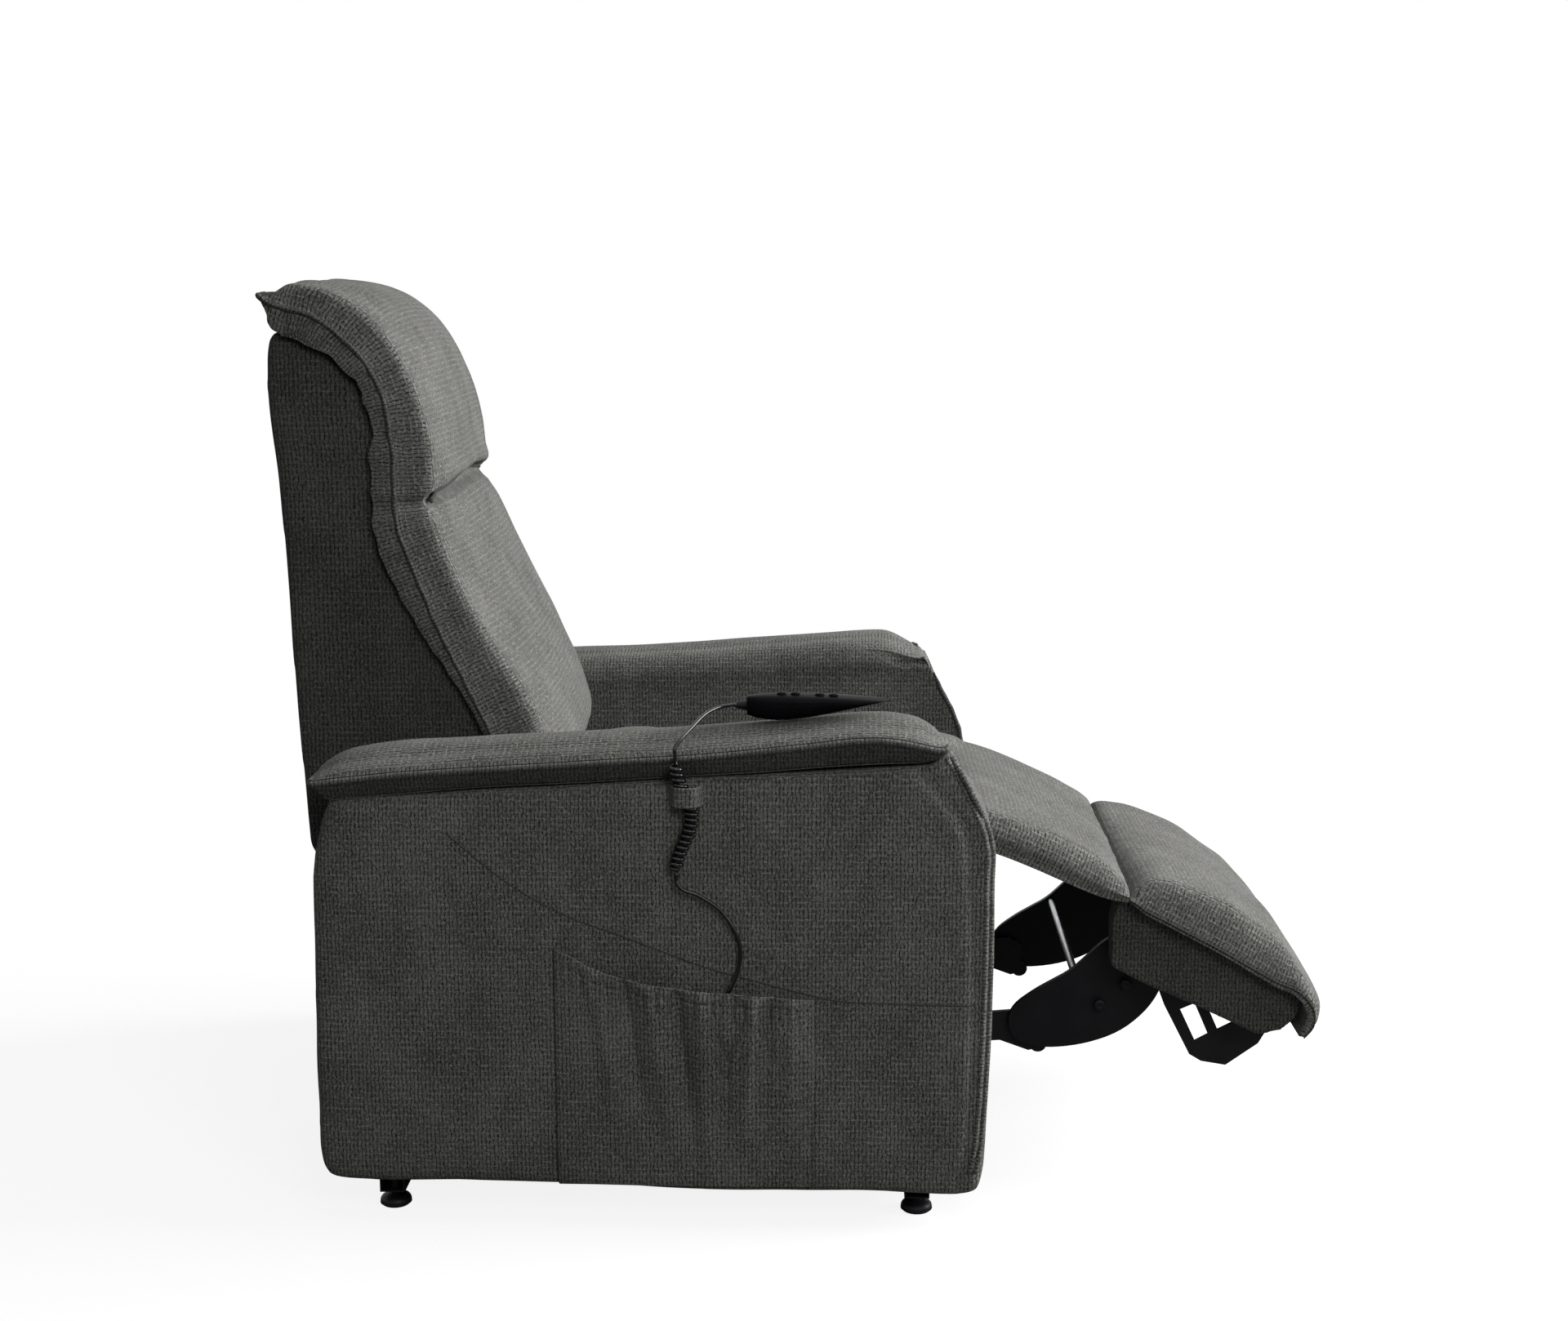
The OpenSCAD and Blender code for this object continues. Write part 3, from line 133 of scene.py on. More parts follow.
def along_line(co, line, chunk=4000):
    """Distance of every point from a line, and how far along it lies."""
    a, b = line[:-1], line[1:]
    d = b - a
    ll = np.maximum((d * d).sum(1), 1e-12)
    run = np.r_[0, np.cumsum(np.sqrt(ll))]
    dist = np.empty(len(co))
    s = np.empty(len(co))
    for i in range(0, len(co), chunk):
        q = co[i:i + chunk, None, :] - a[None]
        t = np.clip((q * d[None]).sum(2) / ll, 0, 1)
        gap = np.linalg.norm(q - t[..., None] * d[None], axis=2)
        k = gap.argmin(1)
        r = np.arange(len(k))
        dist[i:i + chunk] = gap[r, k]
        s[i:i + chunk] = run[k] + t[r, k] * np.sqrt(ll[k])
    return dist, s


def link(obj):
    scene.collection.objects.link(obj)
    return obj


def mesh_object(name, verts, faces, smooth=True):
    mesh = bpy.data.meshes.new(name)
    mesh.from_pydata([tuple(v) for v in verts], [], [tuple(f) for f in faces])
    mesh.update()
    if smooth:
        mesh.polygons.foreach_set("use_smooth", [True] * len(mesh.polygons))
    return link(bpy.data.objects.new(name, mesh))


def vectors(items, key):
    out = np.empty(len(items) * 3)
    items.foreach_get(key, out)
    return out.reshape(-1, 3)


def points_of(obj):
    return vectors(obj.data.vertices, "co")


def normals_of(obj):
    return vectors(obj.data.vertices, "normal")


def set_points(obj, co):
    obj.data.vertices.foreach_set("co", np.ascontiguousarray(co, dtype=np.float64).ravel())
    obj.data.update()


def push(co, normal, amount):
    """Moves every point along its normal, in place."""
    co += normal * amount[:, None]


def settle(obj):
    """Turns the modifiers into the mesh itself."""
    bpy.context.view_layer.update()
    shape = obj.evaluated_get(bpy.context.evaluated_depsgraph_get())
    mesh = bpy.data.meshes.new_from_object(shape)
    obj.modifiers.clear()
    obj.data = mesh
    mesh.polygons.foreach_set("use_smooth", [True] * len(mesh.polygons))
    return obj


def noise_at(co, scale, seed=0.0):
    """Smooth noise from -1 to 1 at every point; scale is in metres."""
    return np.array([noise.noise(Vector(p)) for p in co / scale + seed])


def noise_along(line, scale, seed):
    """Smooth noise that depends only on how far along the line a point lies."""
    s = run_of(line)
    return noise_at(np.column_stack([s, s * 0, s * 0]), scale, seed)


def smooth_step(x, low, high):
    t = np.clip((x - low) / (high - low), 0, 1)
    return t * t * (3 - 2 * t)


def soft_copy(node, name, voxel, rounds):
    """A finely meshed copy of a CAD solid with its edges rounded off."""
    obj = link(bpy.data.objects.new(name, frame["nodes"][node].data.copy()))
    obj.data.materials.clear()
    re = obj.modifiers.new("remesh", "REMESH")
    re.mode = "VOXEL"
    re.voxel_size = voxel
    sm = obj.modifiers.new("smooth", "SMOOTH")
    sm.factor = 0.5
    sm.iterations = rounds
    return settle(obj)


def finer(obj):
    sub = obj.modifiers.new("finer", "SUBSURF")
    sub.levels = sub.render_levels = 1
    settle(obj)


def thicken(obj, thickness, offset):
    solid = obj.modifiers.new("thickness", "SOLIDIFY")
    solid.thickness = thickness
    solid.offset = offset
    settle(obj)


def face_outward(obj):
    bm = bmesh.new()
    bm.from_mesh(obj.data)
    bmesh.ops.recalc_face_normals(bm, faces=bm.faces)
    bm.to_mesh(obj.data)
    bm.free()


def grid_faces(rows, cols, flip):
    """The quads of a grid of points."""
    faces = [(i * cols + j, i * cols + j + 1, (i + 1) * cols + j + 1, (i + 1) * cols + j)
             for i in range(rows - 1) for j in range(cols - 1)]
    return [f[::-1] for f in faces] if flip else faces


CLOTH_PRESSURE = 4.0
CLOTH_STIFFNESS = 15.0
CLOTH_FRAMES = 20


def swell(obj, cap, pins, sink):
    """Cloth under pressure fills out between its pinned seams.

    Each point first sinks by `sink`, then moves out by `cap` at most; pins are 0
    for free points and 1 for sewn ones.
    """
    low = points_of(obj) - normals_of(obj) * (sink * (1 - pins))[:, None]
    set_points(obj, low)
    group = obj.vertex_groups.new(name="pin")
    for level in np.unique(np.round(pins, 1)):
        if level > 0:
            idx = np.nonzero(np.round(pins, 1) == level)[0]
            group.add([int(i) for i in idx], float(level), "REPLACE")
    mod = obj.modifiers.new("cloth", "CLOTH")
    s = mod.settings
    s.quality = 5
    s.mass = 0.3
    s.tension_stiffness = CLOTH_STIFFNESS
    s.compression_stiffness = CLOTH_STIFFNESS
    s.shear_stiffness = CLOTH_STIFFNESS / 3
    s.bending_stiffness = 0.6
    s.use_pressure = True
    s.uniform_pressure_force = CLOTH_PRESSURE
    s.effector_weights.gravity = 0
    s.vertex_group_mass = "pin"
    s.pin_stiffness = 1
    mod.point_cache.frame_start = 1
    mod.point_cache.frame_end = CLOTH_FRAMES
    for f in range(1, CLOTH_FRAMES + 1):
        scene.frame_set(f)
    settle(obj)
    scene.frame_set(1)
    move = points_of(obj) - low
    size = np.linalg.norm(move, axis=1)
    move *= np.minimum(1, cap / np.maximum(size, 1e-9))[:, None]
    set_points(obj, low + move)
    obj.vertex_groups.clear()


def tube(name, line, radius, sides):
    """A welt or seam: a tube of cloth along a line, with weave coordinates."""
    p = np.array(line, float)
    n = len(p)
    ahead = np.roll(p, -1, 0) - np.roll(p, 1, 0)
    ahead[0], ahead[-1] = p[1] - p[0], p[-1] - p[-2]
    ahead /= np.linalg.norm(ahead, axis=1)[:, None]
    u = np.cross(ahead[0], (0, 0, 1) if abs(ahead[0][2]) < 0.8 else (1, 0, 0))
    ups = []
    for d in ahead:
        u = u - d * (u @ d)
        u /= np.linalg.norm(u)
        ups.append(u)
    ups = np.array(ups)
    side = np.cross(ahead, ups)
    a = np.arange(sides) * 2 * math.pi / sides
    r = np.full(n, radius) if np.isscalar(radius) else np.array(radius)
    ring = (p[:, None] + r[:, None, None] * (ups[:, None] * np.cos(a)[None, :, None]
            + side[:, None] * np.sin(a)[None, :, None]))
    faces = [(i * sides + k, i * sides + (k + 1) % sides, (i + 1) * sides + (k + 1) % sides,
              (i + 1) * sides + k) for i in range(n - 1) for k in range(sides)]
    faces.append(tuple(range(sides - 1, -1, -1)))
    faces.append(tuple((n - 1) * sides + k for k in range(sides)))
    obj = mesh_object(name, ring.reshape(-1, 3), faces)
    loop_v, _ = corners(obj)
    put_weave(obj, run_of(p)[loop_v // sides],
              (loop_v % sides) * 2 * math.pi * np.mean(r) / sides)
    return obj

# ---------------------------------------------------------------------
#  Weave coordinates: metres along and across the cloth, on face corners
# ---------------------------------------------------------------------
def put_weave(obj, across, along):
    weave = np.column_stack([across, along, np.zeros(len(across))])
    att = obj.data.attributes.new("weave", "FLOAT_VECTOR", "CORNER")
    att.data.foreach_set("vector", np.ascontiguousarray(weave, dtype=np.float32).ravel())


def corners(obj):
    """The vertex and the face normal of every face corner."""
    mesh = obj.data
    loop_v = np.empty(len(mesh.loops), int)
    mesh.loops.foreach_get("vertex_index", loop_v)
    total = np.empty(len(mesh.polygons), int)
    mesh.polygons.foreach_get("loop_total", total)
    return loop_v, np.repeat(vectors(mesh.polygons, "normal"), total, axis=0)


def weave_flat(obj):
    """Cloth laid on by the main direction of each face."""
    loop_v, no = corners(obj)
    x, y, z = points_of(obj)[loop_v].T
    nx, ny, nz = np.abs(no).T
    side = ny > np.maximum(nx, nz) * 0.9
    top = ~side & (nz > nx)
    put_weave(obj, np.where(side, x, y), np.where(top, x, z))


def weave_along(obj, crown):
    """Cloth that runs over a cushion's crown line (x, z in mm)."""
    co = points_of(obj)
    _, s = along_line(co[:, [0, 2]], even(curve_through(crown), 8) * MM)
    loop_v, no = corners(obj)
    x, y, z = co[loop_v].T
    side = np.abs(no[:, 1]) > 0.86
    put_weave(obj, np.where(side, x, y), np.where(side, z, s[loop_v]))

# ---------------------------------------------------------------------
#  Materials
# ---------------------------------------------------------------------
class Shader:
    """A node tree with short calls for its nodes."""

    def __init__(self, name):
        self.mat = bpy.data.materials.new(name)
        self.mat.use_nodes = True
        self.tree = self.mat.node_tree
        self.tree.nodes.clear()
        self.out = self.tree.nodes.new("ShaderNodeOutputMaterial")
        self.main = self.tree.nodes.new("ShaderNodeBsdfPrincipled")
        self.tree.links.new(self.main.outputs[0], self.out.inputs[0])

    def node(self, kind, **inputs):
        made = self.tree.nodes.new("ShaderNode" + kind)
        for key, value in inputs.items():
            if hasattr(made, key):
                setattr(made, key, value)
        return made

    def put(self, value, socket):
        if isinstance(value, bpy.types.NodeSocket):
            self.tree.links.new(value, socket)
        elif value is not None:
            socket.default_value = value

    def place(self):
        """Object coordinates."""
        return self.node("TexCoord").outputs["Object"]

    def math(self, what, a, b=None, c=None):
        n = self.node("Math", operation=what)
        for value, socket in zip((a, b, c), n.inputs):
            self.put(value, socket)
        return n.outputs[0]

    def noise(self, where, scale, detail=2.0, rough=0.5):
        n = self.node("TexNoise")
        self.put(where, n.inputs["Vector"])
        n.inputs["Scale"].default_value = scale
        n.inputs["Detail"].default_value = detail
        n.inputs["Roughness"].default_value = rough
        return n.outputs["Fac"]

    def stretch(self, where, scale):
        n = self.node("Mapping")
        self.put(where, n.inputs["Vector"])
        n.inputs["Scale"].default_value = scale
        return n.outputs[0]

    def between(self, value, low, high, to_low=0.0, to_high=1.0):
        n = self.node("MapRange")
        for v, socket in zip((value, low, high, to_low, to_high), n.inputs):
            self.put(v, socket)
        return n.outputs[0]

    def ramp(self, value, stops):
        n = self.node("ValToRGB")
        self.put(value, n.inputs[0])
        bar = n.color_ramp
        while len(bar.elements) < len(stops):
            bar.elements.new(0.5)
        for element, (at, colour) in zip(bar.elements, stops):
            element.position = at
            element.color = (*colour, 1)
        return n.outputs[0]

    def bump(self, height, strength, distance):
        n = self.node("Bump")
        self.put(height, n.inputs["Height"])
        n.inputs["Strength"].default_value = strength
        n.inputs["Distance"].default_value = distance
        self.tree.links.new(n.outputs[0], self.main.inputs["Normal"])

    def set(self, **values):
        for key, value in values.items():
            self.put(value, self.main.inputs[key.replace("_", " ")])


ROW = 0.0069        # pitch of the light ribs that cross the cloth
COLUMN = 0.0046     # pitch of the dark slits between the knitted columns


def make_cloth(name, dark, mid, light):
    """Chenille knit: columns with dark slits between them, broken light ribs across."""
    sh = Shader(name)
    where = sh.node("Attribute", attribute_name="weave").outputs["Vector"]
    wander = sh.noise(where, 120, 2)
    split = sh.node("SeparateXYZ")
    sh.put(where, split.inputs[0])
    u = sh.math("MULTIPLY_ADD", wander, 0.0055, split.outputs[0])
    v = sh.math("MULTIPLY_ADD", wander, 0.0048, split.outputs[1])
    across = sh.math("ABSOLUTE", sh.math("SINE", sh.math("MULTIPLY", u, math.pi / COLUMN)))
    along = sh.math("ABSOLUTE", sh.math("SINE", sh.math("MULTIPLY", v, math.pi / ROW)))
    slit = sh.between(across, 0.66, 0.05)
    rib = sh.between(along, 0.62, 0.10)
    streak = sh.noise(sh.stretch(where, (90, 150, 1)), 1.0, 4, 0.7)
    fuzz = sh.noise(where, 760, 3, 0.8)
    grain = sh.noise(sh.stretch(where, (1, 0.75, 1)), 380, 2, 0.6)
    worn = sh.noise(where, 210, 3, 0.7)
    patch = sh.noise(sh.stretch(where, (1, 0.7, 1)), 10, 4, 0.6)
    cloud = sh.noise(sh.stretch(where, (1, 0.8, 1)), 34, 3, 0.6)
    broken = sh.math("MULTIPLY", rib, sh.between(streak, 0.46, 0.62))
    knot = sh.math("MULTIPLY", broken, sh.math("SUBTRACT", 1.0, slit))
    pit = sh.math("MULTIPLY", slit, sh.math("MULTIPLY_ADD", rib, -0.65, 1.0))
    pit = sh.math("MULTIPLY", pit, sh.between(worn, 0.40, 0.58, 0.10, 1.0))
    level = sh.math("MULTIPLY_ADD", knot, 0.42, 0.02)
    for value, share in ((pit, -0.85), (sh.between(worn, 0.3, 0.7), 0.24),
                         (sh.between(grain, 0.34, 0.66), 0.42), (fuzz, 0.46),
                         (sh.between(patch, 0.36, 0.66), 0.13),
                         (sh.between(cloud, 0.36, 0.68), 0.09)):
        level = sh.math("MULTIPLY_ADD", value, share, level)
    sh.set(Base_Color=sh.ramp(level, [(0.0, dark), (0.5, mid), (1.0, light)]),
           Roughness=0.95, Sheen_Weight=0.12, Sheen_Roughness=0.4,
           Specular_IOR_Level=0.06)
    sh.main.inputs["Sheen Tint"].default_value = (0.75, 0.75, 0.72, 1)
    height = sh.math("MULTIPLY_ADD", pit, -1.0, knot)
    height = sh.math("MULTIPLY_ADD", fuzz, 0.9, height)
    sh.bump(height, 0.6, 0.0012)
    return sh.mat


def make_paint(name, colour):
    """Satin powder coat on steel, rubbed a little along its surface."""
    sh = Shader(name)
    where = sh.place()
    speck = sh.noise(where, 900, 2)
    rub = sh.noise(where, 16, 4, 0.7)
    c = np.array(colour)
    sh.set(Base_Color=sh.ramp(rub, [(0.3, tuple(c * 0.75)), (0.75, tuple(c * 1.7))]),
           Roughness=sh.between(rub, 0.3, 0.8, 0.36, 0.56),
           Metallic=0.0, Specular_IOR_Level=0.2)
    sh.bump(speck, 0.12, 0.0003)
    return sh.mat


def make_bright(name):
    """Plated steel with a fine drawn grain."""
    sh = Shader(name)
    where = sh.place()
    grain = sh.noise(sh.stretch(where, (900, 30, 900)), 1.0, 3)
    dull = sh.noise(where, 30, 3)
    sh.set(Base_Color=sh.ramp(dull, [(0.3, (0.42, 0.43, 0.44)), (0.7, (0.62, 0.63, 0.64))]),
           Roughness=sh.between(grain, 0.3, 0.7, 0.24, 0.42), Metallic=1.0)
    sh.bump(grain, 0.08, 0.0002)
    return sh.mat


def make_plastic(name, colour, low, high, grain=0.1, shine=0.16):
    """Moulded plastic: a fine spark-eroded grain and a slight sheen change."""
    sh = Shader(name)
    where = sh.place()
    fine = sh.noise(where, 1400, 2)
    broad = sh.noise(where, 25, 3)
    c = np.array(colour)
    sh.set(Base_Color=sh.ramp(broad, [(0.3, tuple(c * 0.85)), (0.7, tuple(c * 1.25))]),
           Roughness=sh.between(broad, 0.3, 0.7, low, high), Specular_IOR_Level=shine)
    sh.bump(fine, grain, 0.0002)
    return sh.mat


def make_webbing(name):
    """Flat woven webbing: close ribs along the strap."""
    sh = Shader(name)
    where = sh.place()
    split = sh.node("SeparateXYZ")
    sh.put(where, split.inputs[0])
    a = sh.math("SINE", sh.math("MULTIPLY", split.outputs[0], 2400))
    b = sh.math("SINE", sh.math("MULTIPLY", split.outputs[1], 2400))
    rib = sh.math("MULTIPLY", a, b)
    sh.set(Base_Color=sh.ramp(sh.between(rib, -1, 1),
                              [(0.2, (0.035, 0.035, 0.036)), (0.8, (0.10, 0.10, 0.10))]),
           Roughness=0.85)
    sh.bump(rib, 0.4, 0.0005)
    return sh.mat


PAINTS = {
    "grey_cloth": make_cloth("grey_chenille", (0.014, 0.014, 0.0125), (0.080, 0.080, 0.0745),
                             (0.24, 0.24, 0.225)),
    # dark_cloth: a darker copy of the chenille. On the foot board, the arm pads' boxing and the
    # lines in the crease and along the pads' piping it is painted shade; the seams, the inner
    # welt, the back's shell and its flap are dressed in it as well.
    "dark_cloth": make_cloth("grey_chenille_dark_and_painted_shade", (0.008, 0.008, 0.0075),
                             (0.044, 0.044, 0.042), (0.12, 0.12, 0.115)),
    "black_steel": make_paint("black_powder_coat", (0.006, 0.006, 0.007)),
    "bright_steel": make_bright("plated_steel"),
    "black_plastic": make_plastic("black_plastic", (0.006, 0.006, 0.0075), 0.38, 0.5),
    "gloss_black": make_plastic("gloss_black", (0.0060, 0.0060, 0.0072), 0.12, 0.22, 0.02,
                                0.002),
    "cord_rubber": make_plastic("cord_rubber", (0.004, 0.004, 0.0045), 0.18, 0.30, 0.04, 0.35),
    "webbing": make_webbing("webbing"),
}


def dress(obj, slot):
    obj.data.materials.clear()
    obj.data.materials.append(PAINTS[slot])


def dress_cover(obj, slot, body, *nodes):
    """Cloth, body and the CAD nodes that the cover is seen in place of."""
    dress(obj, slot)
    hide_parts(*nodes)
    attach(obj, body)


def sew(name, line, radius, body, slot="dark_cloth", sides=6):
    """A welt or seam on one body."""
    obj = tube(name, line, radius, sides)
    dress(obj, slot)
    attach(obj, body)
    return obj


def paint_nodes():
    """Every CAD node that stays gets the material of its slot."""
    slots = {p["node"]: p["material_slot"] for p in frame["record"]["subparts"]}
    for node, obj in frame["nodes"].items():
        obj.data.materials.clear()
        obj.data.materials.append(PAINTS[slots[node]])


paint_nodes()

# ---------------------------------------------------------------------
#  Sizes taken from the frame
# ---------------------------------------------------------------------
SEAT_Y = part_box("seat_cushion")[1].y / MM
PAD_LOW, PAD_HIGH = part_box("arm_pad_right")
PAD_Y = -(PAD_LOW.y + PAD_HIGH.y) / 2 / MM      # of the left pad; the right one's is -PAD_Y
PAD_HALF = (PAD_HIGH.y - PAD_LOW.y) / 2 / MM
WORDS = {-1: "right", 1: "left"}        # the sitter's sides; the camera is on the right


def arm_line(x):
    """Height of the line on which the arm pad lies (mm)."""
    return 516 + 43 * (x + 556) / 729

# ---------------------------------------------------------------------
#  Cord
# ---------------------------------------------------------------------
CORD_D = 4.5
CURL_D = 17.5       # over the cord
CURLS = 19
CURL_LEN = 136
COIL_X, COIL_Y, COIL_TOP = -139, -392.75, 568
COIL_BOW = 18       # how far forward the middle of the coil hangs
LEAD_IN = 6         # straight cord at each end of the coil
GLAND_X = -65


def coil_axis(t):
    """A point on the coil's axis; t runs from 0 at its top to 1."""
    far = min(1, max(0, (t * CURL_LEN - LEAD_IN) / (CURL_LEN - 2 * LEAD_IN)))
    return np.array([COIL_X + COIL_BOW * math.sin(math.pi * far) ** 2, COIL_Y,
                     COIL_TOP - CURL_LEN * t])


def coil_points(per=16):
    out = [coil_axis(0)]
    for i in range(CURLS * per + 1):
        u = i / per
        k = min(1, u / 0.75, (CURLS - u) / 0.75)
        r = (CURL_D - CORD_D) / 2 * math.sin(math.pi / 2 * k)
        at = coil_axis((LEAD_IN + (CURL_LEN - 2 * LEAD_IN) * u / CURLS) / CURL_LEN)
        a = 2 * math.pi * u
        out.append(at + np.array([r * math.cos(a), r * math.sin(a), 0]))
    out.append(coil_axis(1))
    return out


def make_cord():
    low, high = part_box("handset_gland")
    gland = np.array([GLAND_X, (low.y + high.y) / 2 / MM, (low.z + high.z) / 2 / MM])
    lead = [gland + (-7, 0, 0), gland + (-11, 0, 0), gland + (-15, 0, 0), (-93, -323, 614),
            (-108, -345, 610), (-122, -368, 599), (-133, -385, 589),
            (COIL_X, COIL_Y, COIL_TOP + 12), (COIL_X, COIL_Y, COIL_TOP + 6),
            (COIL_X, COIL_Y, COIL_TOP)]
    foot = COIL_TOP - CURL_LEN
    tail = [(COIL_X, COIL_Y, foot), (COIL_X, COIL_Y, foot - 4), (COIL_X, COIL_Y, foot - 8),
            (-131, -393, 415), (-112, -391, 407), (-88, -390, 389), (-71, -389, 362),
            (-66, -388, 336), (-71, -388, 312), (-80, -387.45, 292), (-84, -387.45, 276),
            (-84, -387.45, 267), (-84, -387.45, 264), (-84, -387.45, 260.5)]
    line = np.vstack([curve_through(lead, 6)[:-1], coil_points()[:-1],
                      curve_through(tail, 6)]) * MM
    data = bpy.data.curves.new("handset_cord", "CURVE")
    data.dimensions = "3D"
    spline = data.splines.new("POLY")
    spline.points.add(len(line) - 1)
    spline.points.foreach_set("co", np.column_stack([line, np.ones(len(line))]).ravel())
    spline.use_smooth = True
    data.bevel_depth = CORD_D / 2 * MM
    data.bevel_resolution = 4
    data.use_fill_caps = True
    obj = link(bpy.data.objects.new("handset_cord", data))
    dress(obj, "cord_rubber")
    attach(obj, "chassis")
    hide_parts("cord_lead", "cord_coil", "cord_tail")


make_cord()

# ---------------------------------------------------------------------
#  Lofted cushions
# ---------------------------------------------------------------------
# Section from the soft edge to the seam: share of soft left in y, share of the boxing
ROUND_EDGE = [(1, 0), (0.66, 0.10), (0.42, 0.27), (0.24, 0.48), (0.11, 0.70), (0.03, 0.88),
              (0, 1)]
CRISP_EDGE = [(1, 0), (0.62, 0.045), (0.34, 0.12), (0.16, 0.24), (0.06, 0.42), (0.015, 0.68),
              (0, 1)]
# What a point of a lofted cushion belongs to
FACE, SEAM, REAR, BOXING = range(4)


def loft_cushion(name, mid, edge, seam, rear, half, soft, per=6, rows=None, cap=5,
                 section=ROUND_EDGE):
    """A cushion drawn at y = 0, at its soft edge, at its seam and along its back.

    The four lines have matching points. The face runs from the middle line to the
    soft edge, rounds into the side boxing and ends at the seam; behind the seam a
    second boxing closes the side. Returns the object, for every point its place
    along the middle line and what it belongs to, and the left seam.
    """
    mid, edge, seam, rear = (curve_through(v, per) for v in (mid, edge, seam, rear))
    n = len(mid)
    flat = np.linspace(0, 1, rows or int(round((half - soft) / 9)) + 1)[:-1]
    rings = [((half - soft) * t, mid + (edge - mid) * t ** 2.6) for t in flat]
    rings += [(half - soft * a, edge + (seam - edge) * b) for a, b in section]
    order = [(-y, q) for y, q in rings[:0:-1]] + rings
    m = len(order)
    pts, kind = [], []
    for j, (y, q) in enumerate(order):
        pts += [(x, y, z) for x, z in q]
        kind += [SEAM if j in (0, m - 1) else FACE] * n
    for y, _ in order:
        pts += [(x, math.copysign(min(abs(y), half - 1), y), z) for x, z in rear]
        kind += [REAR] * n
    faces = []
    back = m * n
    for j in range(m - 1):
        for i in range(n - 1):
            a, b = j * n + i, (j + 1) * n + i
            faces.append((a, b, b + 1, a + 1))
            faces.append((back + a, back + a + 1, back + b + 1, back + b))
    caps = []
    for j in (0, m - 1):
        y = order[j][0]
        cols = [range(j * n, (j + 1) * n)]
        for w in np.arange(1, cap) / cap:
            cols.append(range(len(pts), len(pts) + n))
            pts += [(x, y * (1 - 0.004 * w), z) for x, z in seam + (rear - seam) * w]
            kind += [BOXING] * n
        cols.append(range(back + j * n, back + (j + 1) * n))
        caps.append(cols)
        faces += [(cols[c][i], cols[c][i + 1], cols[c + 1][i + 1], cols[c + 1][i])
                  for c in range(cap) for i in range(n - 1)]
    for i in (0, n - 1):        # the two ends, with the caps' own points in them
        for j in range(m - 1):
            a, b = j * n + i, (j + 1) * n + i
            near = [c[i] for c in caps[0]] if j == 0 else [a, back + a]
            far = [c[i] for c in caps[1]] if j == m - 2 else [b, back + b]
            faces.append(tuple(near + far[::-1]))
    obj = mesh_object(name, np.array(pts) * MM, faces)
    face_outward(obj)
    arc = np.tile(run_of(mid), len(pts) // n) * MM
    seam_line = np.column_stack([seam[:, 0], np.full(n, half), seam[:, 1]]) * MM
    return obj, arc, np.array(kind), seam_line


def weave_loft(obj, arc, seam, mid_y=0.0):
    """Rows run across the face; on the boxing they follow its seam."""
    co = points_of(obj)
    flat = np.column_stack([co[:, 0], np.abs(co[:, 1] - mid_y), co[:, 2]])
    gap, s = along_line(flat, even(seam / MM, 8) * MM)
    loop_v, no = corners(obj)
    side = np.abs(no[:, 1]) > 0.55
    put_weave(obj, np.where(side, s[loop_v], co[loop_v, 1]),
              np.where(side, gap[loop_v], arc[loop_v]))


def puckers(co, normal, line, reach, size, pitch, seed):
    """Small gathers that start at a seam and fade away from it."""
    gap, s = along_line(co, line)
    wander = noise_at(np.column_stack([s, gap * 0.3, gap * 0]), 0.05, seed)
    wave = np.sin(2 * math.pi * (s / pitch + 1.2 * wander))
    fade = np.exp(-gap / reach) * smooth_step(gap, 0.0, reach * 0.5)
    return co + normal * (wave * size * fade)[:, None]


def sewn(kind):
    """Pins that hold a lofted cushion's seams and its back."""
    return np.where((kind == SEAM) | (kind == REAR), 1.0, 0.0)


def seam_points(co, kind, k):
    """The side seam on the right (-1) or on the left (1)."""
    return co[(kind == SEAM) & (np.sign(co[:, 1]) == k)]


def gather_sides(co, no, kind, reach, size, pitch, seed):
    """Puckers along both side seams."""
    for k in WORDS:
        co = puckers(co, no, seam_points(co, kind, k), reach, size, pitch, seed + k)
    return co

# ---------------------------------------------------------------------
#  Back cushion: headrest and lumbar part in one cover, drawn in by a crease
# ---------------------------------------------------------------------
BACK_MID = [(-300, 489), (-288, 515), (-297, 548), (-310, 590), (-337, 644), (-363, 692),
            (-397, 761), (-417, 808), (-430, 838), (-432, 862), (-432, 905), (-441, 955),
            (-457, 1000), (-476, 1042), (-505, 1077), (-542, 1097), (-585, 1105), (-612, 1104),
            (-628, 1090)]
BACK_EDGE = [(-306, 492), (-298, 515), (-305.9, 548), (-319.8, 589), (-346.6, 644),
             (-373.6, 692), (-406.6, 761), (-425.7, 808), (-439.8, 834), (-438.6, 852),
             (-439, 904), (-449, 952), (-465, 995), (-484.4, 1032), (-508.8, 1062), (-543, 1087),
             (-583, 1100), (-611, 1101), (-629, 1088)]
BACK_SEAM = [(-330, 494), (-342, 512), (-364, 545), (-383, 589), (-409, 644), (-432, 692),
             (-459, 761), (-475, 806), (-479, 830), (-480, 850), (-481, 892), (-484, 937),
             (-494, 977), (-511, 1008), (-538, 1037), (-570, 1059), (-600, 1068),
             (-618, 1074), (-632, 1084)]
BACK_REAR = [(-338, 490), (-346, 510), (-366, 545), (-388, 584), (-424, 644), (-454, 692),
             (-488, 757), (-503, 797), (-506, 830), (-506, 852), (-504, 892), (-506, 935),
             (-514, 972), (-530, 995), (-558, 1017), (-590, 1034), (-610, 1040),
             (-624, 1056), (-632, 1078)]
CREASE = 8.5            # point of the lines at which the crease lies
CREASE_DEPTH = 0.030
CREASE_HANG = 0.28      # how far the headrest hangs over it, as a share of its depth
BACK_HALF = 247
BACK_SOFT = 20          # depth in y of the rounding at the soft edge
